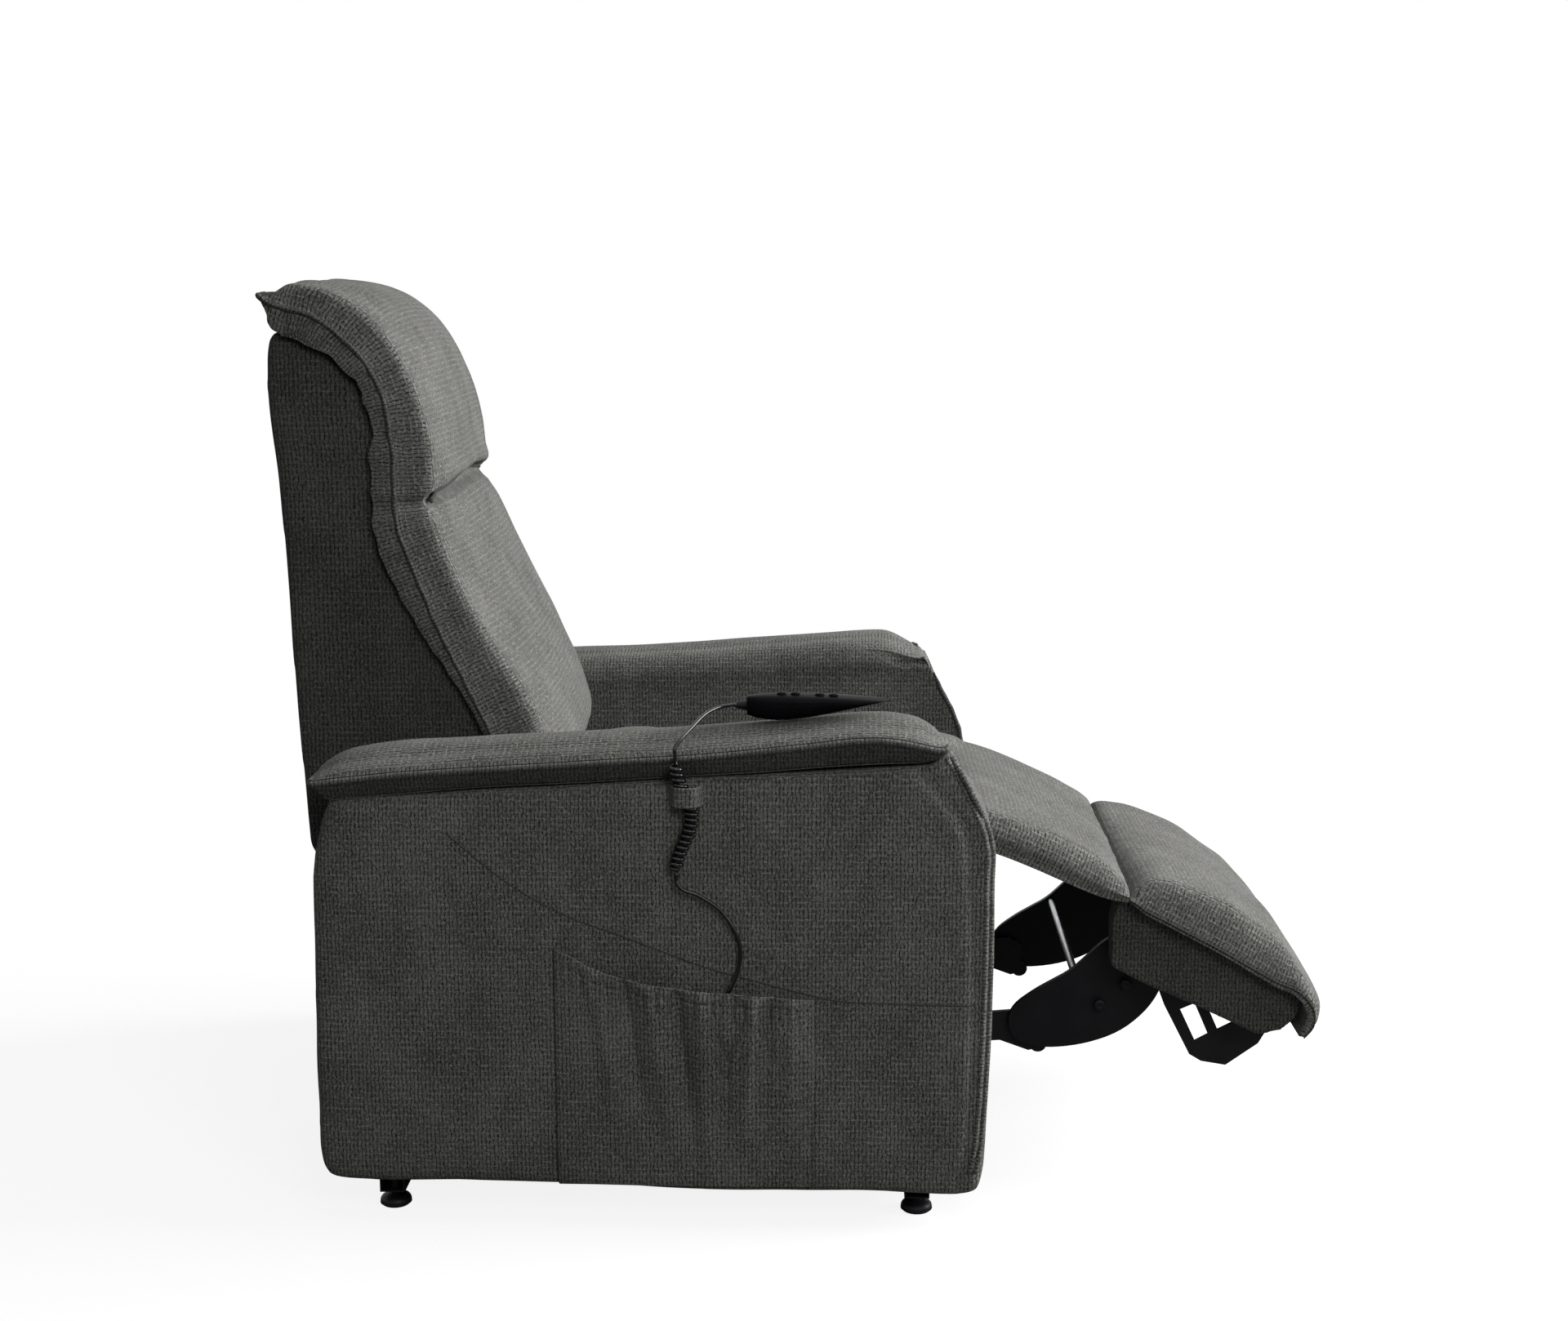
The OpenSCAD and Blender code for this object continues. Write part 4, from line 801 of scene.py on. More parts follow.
PIPING = 0.0031         # radius of the back's and the arm pads' welts


def sway(co):
    """How far the soft headrest and the lumbar's foot lean out on one side."""
    head = smooth_step(co[:, 2], 0.77, 0.88)
    low = 1 - smooth_step(co[:, 2], 0.60, 0.70)
    return -np.tanh(co[:, 1] / 0.13) * (0.010 * head + 0.006 * low)


def draw_crease(co, no, arc, at, y, face):
    """The crease, and the lips of the two parts that bulge over it."""
    fade = 1 - 0.30 * smooth_step(y, 0.16, 0.226) - 0.50 * smooth_step(y, 0.230, 0.246)
    reach = np.where(arc > at, 0.0085, 0.0062)
    dip = CREASE_DEPTH * fade * np.exp(-((arc - at) / reach) ** 2) * face
    inner = 1 - smooth_step(y, 0.19, 0.235)
    lip = 0.008 * np.exp(-((arc - at - 0.024) / 0.015) ** 2) * face * inner
    lip += 0.003 * np.exp(-((arc - at + 0.028) / 0.015) ** 2) * face * inner
    push(co, no, lip - dip)
    co[:, 2] += CREASE_HANG * dip


def gather_boxing(co, arc, kind, y, side):
    """The gathered seam and the loose boxing behind it."""
    line = np.column_stack([arc, side * 0.2, arc * 0])
    wave = noise_at(line, 0.034, 3.0) + 0.6 * noise_at(line, 0.017, 8.0)
    upper = 1 + 0.8 * smooth_step(co[:, 2], 0.90, 0.98)
    co[:, 1] += side * np.where(kind == BOXING, 0.0045 + 0.0040 * wave * upper, 0)
    rim = (kind == REAR) & (y > 0.235)
    co[:, 0] -= np.where(rim, 0.0015 + 0.0065 * wave * upper, 0)
    co[:, 0] += np.where(kind == SEAM, 0.0022 * wave, 0)
    co[:, 1] += np.where(kind == SEAM, side * 0.0012 * wave, 0)


def wrinkle_face(co, no, arc, at, y, face):
    """Short wrinkles that run out of the crease, and long soft ones along the face."""
    near = np.exp(-((arc - at) / 0.030) ** 2) * face
    fan = np.sin(co[:, 1] / 0.0042 + 40 * (arc - at)) * smooth_step(y, 0.15, 0.215)
    gap = smooth_step(np.abs(arc - at), 0.004, 0.012)
    push(co, no, near * fan * gap * 0.0009)
    long = noise_at(np.column_stack([co[:, 1], arc * 0.16, arc * 0]), 0.034, 2.0)
    push(co, no, long * 0.0022 * face * gap * (1 - smooth_step(y, 0.215, 0.235)))
    push(co, no, noise_at(co, 0.075, 6.0) * 0.0012 * face)


def sew_crease(deep):
    """The seam in the crease, in the darker cloth and drawn out of it so far that it shows under
    the lip: a real seam that also stands as painted shadow in the crease.
    """
    deep = deep[np.argsort(deep[:, 1])]
    left = smooth_step(deep[:, 1], -0.24, 0.24)     # the seam lies deeper on the left
    deep[:, 0] += 0.0120 - 0.0075 * left
    deep[:, 2] -= 0.0070 - 0.0045 * left
    sew("crease_seam_and_shadow", even(deep, 0.006), 0.0026, "backrest", sides=8)


def make_back_cushion():
    """Makes the cushion and its crease seam, a dark line that also paints the crease's shadow,
    and returns both side seams.
    """
    obj, arc, kind, seam = loft_cushion("back_cushion", BACK_MID, BACK_EDGE, BACK_SEAM,
                                        BACK_REAR, BACK_HALF, BACK_SOFT,
                                        section=CRISP_EDGE)
    co, no = points_of(obj), normals_of(obj)
    run = run_of(curve_through(BACK_MID, 6)) * MM
    at = run[int(CREASE * 6)]
    y = np.abs(co[:, 1])        # both as they are before the cover moves
    side = np.sign(co[:, 1])
    face = kind == FACE
    co[:, 0] += sway(co) * face * (1 - smooth_step(y, 0.2465, 0.247))
    draw_crease(co, no, arc, at, y, face)
    gather_boxing(co, arc, kind, y, side)
    set_points(obj, co)
    creased = face * (np.abs(arc - at) < 0.0038) * (y < 0.236)
    swell(obj, 0.024, np.maximum(sewn(kind), creased), 0.003)
    co, no = points_of(obj), normals_of(obj)
    co = gather_sides(co, no, kind, 0.014, 0.0015, 0.026, 3.0)
    wrinkle_face(co, no, arc, at, y, face)
    set_points(obj, co)
    weave_loft(obj, arc, seam)
    finer(obj)
    dress_cover(obj, "grey_cloth", "backrest", "head_cushion", "lumbar_cushion")
    nearest = run[np.argmin(np.abs(run - at))]
    sew_crease(co[face & (np.abs(arc - nearest) < 1e-6) & (y < 0.240)])
    return {k: seam_points(co, kind, k) for k in WORDS}


def make_back_welt(seams):
    """The gathered welt along both side seams and over the top."""
    right, left = seams[-1], seams[1][::-1]
    tip = right[-1]
    top = np.array([[tip[0], y, tip[2] + 0.001]
                    for y in np.linspace(-0.225, 0.225, 14)])
    line = even(np.vstack([right, top, left]), 0.004)
    fine = noise_along(line, 0.016, 5.0)
    line[:, 1] += np.sign(line[:, 1]) * (0.0006 + 0.0010 * fine)
    line[:, 0] += 0.0008 * fine
    sew("back_welt", line, PIPING * (1 + 0.30 * fine), "backrest", sides=10)


make_back_welt(make_back_cushion())


def make_plain_cover(node, name, body, voxel, rounds, slot, wave=0.0, fine=True):
    """A cover stretched over a firm core: rounded edges and a faint wave."""
    obj = soft_copy(node, name, voxel, rounds)
    if wave:
        co = points_of(obj)
        push(co, normals_of(obj), noise_at(co, 0.16, 11.0) * wave)
        set_points(obj, co)
    if fine:
        finer(obj)
    weave_flat(obj)
    dress_cover(obj, slot, body, node)
    return obj


SHELL_FULL = 0.010      # fullness of the padding over the rear of the shell


def make_shell():
    """The back's shell, whose padded rear stands proud of its board."""
    shell = make_plain_cover("back_shell", "back_cover", "backrest", 0.007, 3, "dark_cloth",
                             0.0016)
    co = points_of(shell)
    rear = smooth_step(-co[:, 0], 0.49, 0.60) * smooth_step(co[:, 2], 0.385, 0.43)
    co[:, 0] -= rear * (SHELL_FULL + 0.006 * smooth_step(co[:, 2], 0.86, 0.97))
    co[:, 2] += 0.003 * smooth_step(co[:, 2], 0.92, 1.0)
    set_points(shell, co)


make_shell()
flap = make_plain_cover("back_flap", "rear_flap", "backrest", 0.004, 3, "dark_cloth")

# ---------------------------------------------------------------------
#  Seat, leg pad and foot pad
# ---------------------------------------------------------------------
SEAT_CROWN = [(228, 400), (229, 432), (223, 452), (203, 469), (150, 479), (0, 481),
              (-150, 481), (-320, 478)]
CHANNEL_X, CHANNEL_Z = (50, -140), 476      # the seams that part the seat's channels


def across_seam(x):
    """A seam straight across the seat."""
    return np.array([[x * MM, y * MM, CHANNEL_Z * MM] for y in np.linspace(-SEAT_Y, SEAT_Y, 40)])


def make_seat():
    obj = soft_copy("seat_cushion", "seat", 0.006, 6)
    seams = [across_seam(x) for x in CHANNEL_X]
    co, no = points_of(obj), normals_of(obj)
    pins = (no[:, 2] < -0.55) * 1.0
    for line in seams:
        gap, _ = along_line(co, line)
        pins = np.maximum(pins, 1 - smooth_step(gap, 0.004, 0.016))
    swell(obj, 0.022, pins, 0.008)
    co, no = points_of(obj), normals_of(obj)
    for line in seams:
        co = puckers(co, no, line, 0.014, 0.0012, 0.028, 1.0)
    set_points(obj, co)
    finer(obj)
    weave_along(obj, SEAT_CROWN)
    dress_cover(obj, "grey_cloth", "chassis", "seat_cushion")


make_seat()


LEG_MID = [(176, 470), (204, 477), (238, 468), (284, 449), (319, 432), (350, 414),
           (378, 397), (395, 383), (401, 373)]
LEG_EDGE = [(176, 465), (204, 472), (238, 465), (284, 447), (319, 432), (350, 417),
            (377, 400), (394, 384), (400, 373)]
LEG_SEAM = [(178, 446), (206, 448), (238, 439), (280, 421), (314, 405), (344, 389),
            (370, 376), (388, 371), (398, 368)]
LEG_REAR = [(180, 426), (208, 428), (240, 419), (278, 404), (312, 389), (342, 376),
            (366, 367), (384, 363), (396, 362)]
FOOT_MID = [(396, 369), (404, 377), (421, 382), (448, 380), (484, 369), (523, 352), (559, 330),
            (592, 307), (612, 281), (629, 255), (642, 230), (639, 203), (619, 187)]
FOOT_EDGE = [(396, 367), (405, 378), (421, 383), (447, 381), (482, 369), (520, 352), (556, 327),
             (587, 305), (606, 280), (622, 254), (636, 229), (634, 205), (617, 189)]
FOOT_SEAM = [(397, 364), (405, 360), (417, 351), (442, 338), (474, 321), (510, 302),
             (546, 281), (578, 263), (600, 254), (615, 241), (624, 225), (623, 207),
             (612, 193)]
FOOT_REAR = [(398, 361), (406, 355), (419, 345), (444, 332), (476, 315), (511, 296),
             (546, 275), (576, 257), (595, 249), (608, 238), (615, 224), (613, 208),
             (605, 195)]
LEAN = 0.006            # how much higher the pads are puffed on one side
PAD_SIDE = 245          # half width of the footrest's pads
PAD_SOFT = 26           # depth in y of their rounding


def make_foot_cushion(name, lines, seed):
    obj, arc, kind, seam = loft_cushion(name, *lines, PAD_SIDE, PAD_SOFT, cap=3)
    face = kind == FACE
    ends = np.minimum(arc, arc.max() - arc)
    co = points_of(obj)
    inside = smooth_step(ends, 0.0, 0.05) * face
    co[:, 2] -= LEAN * np.tanh(co[:, 1] / 0.13) * inside
    set_points(obj, co)
    swell(obj, 0.016, sewn(kind), 0.002)
    co, no = points_of(obj), normals_of(obj)
    co = gather_sides(co, no, kind, 0.012, 0.0009, 0.024, seed)
    push(co, no, noise_at(co, 0.07, seed) * 0.0012 * face)
    # both ends of each pad are gathered a little where they are sewn down
    pull = np.exp(-ends / 0.018) * face * smooth_step(ends, 0, 0.006)
    push(co, no, pull * 0.0013 * np.sin(co[:, 1] / 0.0052 + 3 * noise_at(co, 0.05, 2.0)))
    set_points(obj, co)
    weave_loft(obj, arc, seam)
    finer(obj)
    dress(obj, "grey_cloth")
    return obj, {k: seam_points(co, kind, k) for k in WORDS}


# The leg pad is one cover with the flap that ties it to the seat
leg, _ = make_foot_cushion("leg_rest_pad", (LEG_MID, LEG_EDGE, LEG_SEAM, LEG_REAR), 2.0)
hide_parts("leg_pad")
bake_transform(leg)
foot, foot_seams = make_foot_cushion("foot_rest_pad",
                                     (FOOT_MID, FOOT_EDGE, FOOT_SEAM, FOOT_REAR), 4.0)
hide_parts("foot_pad")
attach(foot, "footrest")
for k, word in WORDS.items():
    sew("foot_pad_seam_" + word, even(foot_seams[k], 0.006), 0.0010, "footrest")
# The board's cover is in the darker cloth: painted shade under the foot pad.
make_plain_cover("foot_board", "foot_board_cover", "footrest", 0.004, 2, "dark_cloth",
                 fine=False)

SCREW_CAPS = [(372, 209), (404, 236)]


def make_screw_cap(name, x, z, side):
    """A low domed cap over a screw head, on the outer face of a link cover."""
    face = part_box("curved_links")[1].y
    rings = [(0.0076, -0.0006), (0.0074, 0.0006), (0.0064, 0.0013), (0.0040, 0.0017),
             (0.0018, 0.0013), (0.0008, 0.0010)]      # radius and height
    n = 28
    pts = [(x * MM + r * math.cos(t), side * (face + h), z * MM + r * math.sin(t))
           for r, h in rings for t in np.linspace(0, 2 * math.pi, n, endpoint=False)]
    faces = [(k * n + i, k * n + (i + 1) % n, (k + 1) * n + (i + 1) % n, (k + 1) * n + i)
             for k in range(len(rings) - 1) for i in range(n)]
    faces += [tuple(range(n)), tuple(range((len(rings) - 1) * n, len(rings) * n))]
    obj = mesh_object(name, pts, faces)
    face_outward(obj)
    dress(obj, "black_plastic")
    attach(obj, "curved_links")


for k, word in WORDS.items():
    for i, (x, z) in enumerate(SCREW_CAPS):
        make_screw_cap("screw_cap_%s_%d" % (word, i + 1), x, z, k)

# ---------------------------------------------------------------------
#  Arms
# ---------------------------------------------------------------------
# Front end of the puffed side panel
PANEL_EDGE = [(188, 62), (200, 100), (205, 209), (206, 300), (203, 380), (196, 440),
              (184, 488), (166, 524), (140, 552)]
DIAGONAL_SEAM = [(-405, 477), (-336, 419), (-270, 381), (-205, 357), (-120, 324),
                 (-73, 310), (21, 286), (69, 279), (204, 276)]
FRONT_WELTS = [(204, 70), (211, 110), (216, 200), (218.5, 300), (219, 380), (217, 440),
               (210, 480), (200, 510), (187, 539), (171, 566)]

WELT = 0.0034           # radius of the arms' welts
OUTSIDE = 0.39          # y outside the arms, from which their cloth is felt for
# Height and how much less full the sitter's left arm is in front
LEFT_FRONT = ((0.42, 0.45, 0.47, 0.50, 0.53, 0.56), (0, 0.003, 0.006, 0.012, 0.014, 0.010))
# Height and how far forward of the frame the cover's rear edge lies
REAR_SLANT = ((0.42, 0.45, 0.48, 0.51, 0.53), (-0.0065, -0.0040, 0.0015, 0.0080, 0.0110))


def make_arm(side):
    """The cover over an arm: a puffed side panel, sunk at its edge and low at its foot."""
    word = WORDS[side]
    obj = soft_copy("arm_" + word, "arm_cover_" + word, 0.007, 3)
    finer(obj)
    co, no = points_of(obj), normals_of(obj)
    out = side * co[:, 1]
    facing = smooth_step(side * no[:, 1], 0.2, 0.7) * smooth_step(out, 0.34, 0.37)
    edge = even(curve_through(PANEL_EDGE, 6), 8) * MM
    gap, _ = along_line(co[:, [0, 2]], edge)
    ahead = co[:, 0] > np.interp(co[:, 2], edge[:, 1], edge[:, 0])
    dip = 0.005 * np.exp(-(gap / 0.006) ** 2) + ahead * 0.0025 * smooth_step(gap, 0, 0.008)
    wave = noise_at(co, 0.17, 4.0 + side) * 0.0022 + noise_at(co, 0.07, 9.0) * 0.0008
    co[:, 1] -= side * (dip * facing)
    low = smooth_step(-co[:, 2], -0.085, -0.055) * smooth_step(out, 0.30, 0.36)
    sag = np.interp(co[:, 0], (-0.50, -0.40, -0.24, -0.12, 0.10, 0.20),
                    (0.008, 0.0035, 0.0035, 0.0075, 0.0075, 0.0100))
    co[:, 2] -= sag * low
    corner = smooth_step(-co[:, 0], 0.45, 0.54) * smooth_step(-co[:, 2], -0.15, -0.06)
    co[:, 0] -= 0.004 * corner
    nose = smooth_step(co[:, 0], 0.13, 0.17)
    co[:, 0] -= 0.006 * nose * smooth_step(co[:, 2], 0.49, 0.54)
    if side < 0:        # the sitter's right arm is fuller in front, its inner corner less
        co[:, 0] += 0.006 * nose * np.exp(-((co[:, 2] - 0.470) / 0.035) ** 2)
        inner = 1 - smooth_step(out, 0.29, 0.35)
        co[:, 0] -= 0.014 * nose * inner * smooth_step(co[:, 2], 0.515, 0.555)
    else:
        co[:, 0] -= nose * np.interp(co[:, 2], *LEFT_FRONT)
    rear = smooth_step(-co[:, 0], 0.515, 0.550) * smooth_step(out, 0.30, 0.36)
    co[:, 0] += rear * np.interp(co[:, 2], *REAR_SLANT)
    push(co, no, wave * smooth_step(out, 0.25, 0.30))
    set_points(obj, co)
    weave_flat(obj)
    dress_cover(obj, "grey_cloth", "chassis", "arm_" + word)
    return obj


RAY_BACK = 0.08         # how far before the point a ray for the cloth starts
RAY_REACH = 0.2         # how far off the core cloth is looked for


def hug(tree, point, direction, lift):
    """The point moved along direction until it lies on the cloth."""
    hit = tree.ray_cast(Vector(point) - Vector(direction) * RAY_BACK, Vector(direction),
                        RAY_REACH)
    if hit[0] is None:
        return np.array(point)
    return np.array(hit[0] - Vector(direction) * lift)


def surface(obj):
    return BVHTree.FromObject(obj, bpy.context.evaluated_depsgraph_get())


def make_arm_trim(side, cover):
    """The two welts along an arm's front edge and the seam across its outer panel."""
    word = WORDS[side]
    tree = surface(cover)
    inward = (0, -side, 0)
    line = even(curve_through(FRONT_WELTS, 6), 6) * MM
    if side < 0:
        line[:, 0] += 0.005 * np.exp(-((line[:, 1] - 0.470) / 0.035) ** 2)
    else:
        line[:, 0] -= np.interp(line[:, 1], *LEFT_FRONT)
    for k, shift in enumerate((-WELT, WELT)):
        pts = np.array([hug(tree, (x + shift, side * OUTSIDE, z), inward, -0.0006)
                        for x, z in line])
        pts[:, 1] = running_mean(pts[:, 1], 9)
        welt = sew("front_welt_%s_%d" % (word, k + 1), pts,
                   WELT * (1 + 0.06 * noise_at(pts, 0.03, 1.0)), "chassis", "grey_cloth", 10)
        if k == 0:
            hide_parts("arm_welt_" + word)
    seam = even(curve_through(DIAGONAL_SEAM, 6), 6) * MM
    sew("panel_seam_" + word,
        [hug(tree, (x, side * OUTSIDE, z), inward, 0.0) for x, z in seam], 0.0009, "chassis")


PAD_MID = [(-561, 537), (-559, 543), (-549, 550), (-523, 561), (-458, 570), (-360, 577),
           (-266, 581), (-190, 585), (-123, 590), (-50, 595), (20, 601), (60, 604),
           (95, 605), (124, 604), (146, 598), (160, 589), (168, 580)]
PAD_SEAM = [(-560, 535), (-556, 533), (-547, 535), (-523, 538), (-458, 545), (-360, 552),
            (-266, 558), (-190, 563), (-123, 567), (-50, 574), (20, 582), (60, 587),
            (95, 588), (122, 585), (145, 580), (160, 577), (171, 579)]
PAD_REAR = [(-554, 528), (-548, 520), (-540, 514), (-520, 513), (-458, 520),
            (-360, 529), (-266, 534), (-190, 539), (-123, 543.5), (-50, 548),
            (20, 554), (60, 557), (95, 559), (120, 560), (140, 561), (153, 564),
            (164, 571)]
CROWN_SOFT = 30         # depth in y of the pads' rounding
PAD_EDGE = [(a[0] * 0.6 + b[0] * 0.4, a[1] * 0.62 + b[1] * 0.38)
            for a, b in zip(PAD_MID, PAD_SEAM)]


def make_shaded_boxing_band(side, co, kind, n):
    """A band of darker cloth over the boxing between the pad's outer piping and the panel:
    painted shade under the pad's edge.
    """
    end = 0 if side < 0 else -1
    between = co[kind == BOXING].reshape(2, -1, n, 3)[end]
    grid = np.stack([co[kind == SEAM].reshape(2, n, 3)[end], *between,
                     co[kind == REAR].reshape(-1, n, 3)[end]])
    grid = grid[:, 3:-3]
    grid[:, :, 1] += side * 0.0009
    obj = mesh_object("pad_boxing_painted_shade_" + WORDS[side], grid.reshape(-1, 3),
                      grid_faces(*grid.shape[:2], side < 0))
    thicken(obj, 0.0010, 0)
    finer(obj)
    weave_flat(obj)
    dress(obj, "dark_cloth")
    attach(obj, "chassis")


def make_pad(side):
    """Arm pad: a crowned top, a piped edge and a boxing that tucks over the panel.

    Returns the pad and the points of its outer and its inner seam.
    """
    word = WORDS[side]
    half = PAD_HALF
    middle = side * PAD_Y * MM
    obj, arc, kind, seam = loft_cushion("arm_pad_cover_" + word, PAD_MID, PAD_EDGE,
                                        PAD_SEAM, PAD_REAR, half, CROWN_SOFT, per=8,
                                        rows=7, cap=4)
    co = points_of(obj)
    face = kind == FACE
    top = np.interp(co[:, 0], seam[:, 0], seam[:, 2])
    under = smooth_step(top - co[:, 2], 0.004, 0.026) * ((kind == REAR) | (kind == BOXING))
    co[:, 1] -= np.sign(co[:, 1]) * 0.0150 * under * (np.abs(co[:, 1]) > half * MM * 0.9)
    # in front both tips are rounder on their left, as the foam has settled
    across = smooth_step(co[:, 1], -0.030, half * MM)
    co[:, 0] -= 0.010 * across * smooth_step(co[:, 0], 0.09, 0.165)
    if side > 0:        # the sitter's left pad falls off a little sooner in front
        early = smooth_step(co[:, 0], 0.10, 0.15)
        co[:, 0] -= 0.006 * early
        co[:, 2] -= 0.004 * early * face
        co[:, 2] -= 0.006 * early * across
    set_points(obj, co)
    swell(obj, 0.010, sewn(kind), 0.001)
    co, no = points_of(obj), normals_of(obj)
    co = gather_sides(co, no, kind, 0.010, 0.0007, 0.034, 5.0)
    push(co, no, noise_at(co, 0.09, 8.0 + side) * 0.0013 * face)
    co[:, 1] += middle
    set_points(obj, co)
    weave_loft(obj, arc, seam, middle)
    ring = co[kind == SEAM]
    # a darker band over the boxing: painted shade under the pad
    make_shaded_boxing_band(side, co, kind, len(seam))
    finer(obj)
    dress_cover(obj, "grey_cloth", "chassis", "arm_pad_" + word)
    return (obj, ring[ring[:, 1] * side > PAD_Y * MM], ring[ring[:, 1] * side < PAD_Y * MM])


def make_pad_welt(side, outer, inner):
    """Piping along the outer edge of the arm pad and round its rear end, with painted shadow
    lines under and over it.
    """
    word = WORDS[side]
    ends = []
    turns = [(outer[0], inner[0]), (outer[-1], inner[-1])]
    for tip, far in turns:      # the front end turns the corner only
        share = 0.12 if tip[0] > 0 else 0.9
        ends.append(np.array([tip + (far - tip) * t for t in np.linspace(0.02, share, 12)]))
    line = even(np.vstack([ends[0][::-1], outer, ends[1]]), 0.004)
    for _ in range(3):
        line[1:-1] = (line[:-2] + line[1:-1] * 2 + line[2:]) / 4
    line[:, 1] += side * 0.0008
    fine = noise_along(line, 0.03, 1.0)
    sew("pad_welt_" + word, line, PIPING * (1 + 0.10 * fine), "chassis", "grey_cloth", 10)
    # Thin dark lines just under and over the piping: painted shadow along it.
    for drop, name in ((-0.0036, "pad_shadow_line_low_"), (0.0034, "pad_shadow_line_top_")):
        under = even(outer[2:-2], 0.006)
        under[:, 2] += drop
        under[:, 1] += side * (0.0006 if drop < 0 else -0.0006)
        sew(name + word, even(under, 0.006), 0.0012, "chassis")


INNER_REAR = -0.552
INNER_FRONT = [(0.600, 0.141), (0.588, 0.157), (0.559, 0.175), (0.529, 0.186),
               (0.500, 0.202), (0.470, 0.213), (0.434, 0.219)]
INNER_CORE = 0.302      # y of the line from which the inner cover is felt for
INNER_COLUMNS = 170     # from the rear to the front
NOTHING = 0.02          # a ray that finds no cloth beyond this has found none
CROWN_RAYS = 26         # round the pad's crown
DROP_RAYS = 22          # level ones, further and further down the inner side
RAY_RISE = 0.006        # height of the crown's rays over the line of the arm
LEVEL = CROWN_RAYS - 1  # the ray from which on they run level


def felt(trees, x, side, ray):
    """How far from the core the outermost cloth lies along a ray; 0 for none."""
    dy, dz, rise = ray
    start = Vector((x, side * INNER_CORE, arm_line(x / MM) * MM + rise))
    away = Vector((0, dy, dz))
    best = 0.0
    for tree in trees:
        hit = tree.ray_cast(start + away * RAY_REACH, -away, RAY_REACH + 0.05)
        if hit[0] is not None:
            best = max(best, RAY_REACH - hit[3])
    return best


def front_of(trees, side, ray):
    """The foremost x at which a ray still meets the arm or its pad."""
    for x in np.arange(0.228, 0.080, -0.0015):
        if felt(trees, x, side, ray) > NOTHING:
            return x
    return 0.080


def inner_rays(side):
    """Direction in y and z of each ray, and its height over the line of the arm."""
    turns = [math.radians(180 - a) for a in np.linspace(78, 180, CROWN_RAYS)]
    return ([(-math.cos(turn) * side, math.sin(turn), RAY_RISE) for turn in turns]
            + [(-side, 0.0, RAY_RISE - drop) for drop in np.linspace(0.004, 0.130, DROP_RAYS)])


def inner_ends(side, trees, rays):
    """The x at which the cover ends in front, for every ray."""
    ends = np.array([front_of(trees, side, ray) for ray in rays])
    for _ in range(6):
        ends = running_mean(ends, 5)
    ends -= np.interp(np.arange(len(ends)), (0, 14, 30), (0.0015, 0.003, 0.007))
    if side > 0:
        height = np.array([arm_line(165) * MM + ray[2] for ray in rays])
        planned = np.interp(-height, [-z for z, _ in INNER_FRONT], [x for _, x in INNER_FRONT])
        low = smooth_step(np.arange(len(rays)), 19, 27)
        ends = ends * (1 - low) + planned * low
    return ends


def span_hollows(reach):
    """The cover spans hollows: it is widened, then smoothed, and tucked in at its edges."""
    wide = reach.copy()
    for k in range(1, 7):
        wide[:, k:] = np.maximum(wide[:, k:], reach[:, :-k] - 0.0004 * k)
        wide[:, :-k] = np.maximum(wide[:, :-k], reach[:, k:] - 0.0004 * k)
    for _ in range(14):
        wide = (neighbours(wide) + 2 * wide) / 6
    ii, jj = np.meshgrid(np.arange(wide.shape[0]), np.arange(wide.shape[1]), indexing="ij")
    ahead = np.where(jj < LEVEL, wide.shape[0] - 1 - ii, 99)
    close = smooth_step(np.minimum(ii, ahead) / 14.0, 0, 1)
    wide = reach + (wide - reach) * close * smooth_step(jj / 22.0, 0.3, 1)
    edge = np.minimum(jj / 7.0, ahead / 5.0)
    return wide + (-0.0022 + 0.0030 * smooth_step(edge, 0, 1))


def inner_points(side, trees):
    """The grid of points on which the inner cover lies."""
    rays = inner_rays(side)
    ends = inner_ends(side, trees, rays)
    rows = np.zeros((INNER_COLUMNS, len(rays), 5))
    reach = np.zeros(rows.shape[:2])
    for i, t in enumerate(np.linspace(0, 1, INNER_COLUMNS)):
        for j, ray in enumerate(rays):
            x = INNER_REAR + (ends[j] - INNER_REAR) * t
            rows[i, j] = (x, side * INNER_CORE, arm_line(x / MM) * MM + ray[2], ray[0], ray[1])
            reach[i, j] = felt(trees, x, side, ray)
            if j and reach[i, j] < NOTHING:
                reach[i, j] = reach[i, j - 1]
    for i in range(120, INNER_COLUMNS):         # in front the cover runs straight to its welt
        reach[i, LEVEL:] = np.maximum(reach[i, LEVEL:], reach[i - 1, LEVEL:] - 0.0001)
    out = span_hollows(reach)
    return np.stack([rows[..., 0], rows[..., 1] + rows[..., 3] * out,
                     rows[..., 2] + rows[..., 4] * out], -1)


def make_inner_cover(side, covers):
    """The cover that runs from the pad's crown down the arm's inner side."""
    pts = inner_points(side, [surface(c) for c in covers])
    obj = mesh_object("arm_inner_cover_" + WORDS[side], pts.reshape(-1, 3),
                      grid_faces(*pts.shape[:2], side < 0))
    co = points_of(obj)
    push(co, normals_of(obj), noise_at(co, 0.10, 12.0 + side) * 0.0012)
    set_points(obj, co)
    thicken(obj, 0.0012, -1)
    finer(obj)
    x, y, z = points_of(obj)[corners(obj)[0]].T
    put_weave(obj, x, z + np.abs(y) * 0.9)
    dress(obj, "grey_cloth")
    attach(obj, "chassis")
    if side > 0:
        line = even(pts[-1, LEVEL + 2:] + np.array([0.001, 0, 0]), 0.004)
        fine = noise_at(line, 0.018, 3.0)
        start = 0.25 + 0.75 * smooth_step(np.arange(len(line)), 0, 5)
        sew("inner_welt_left", line, WELT * (1 + 0.25 * fine) * start, "chassis", sides=8)


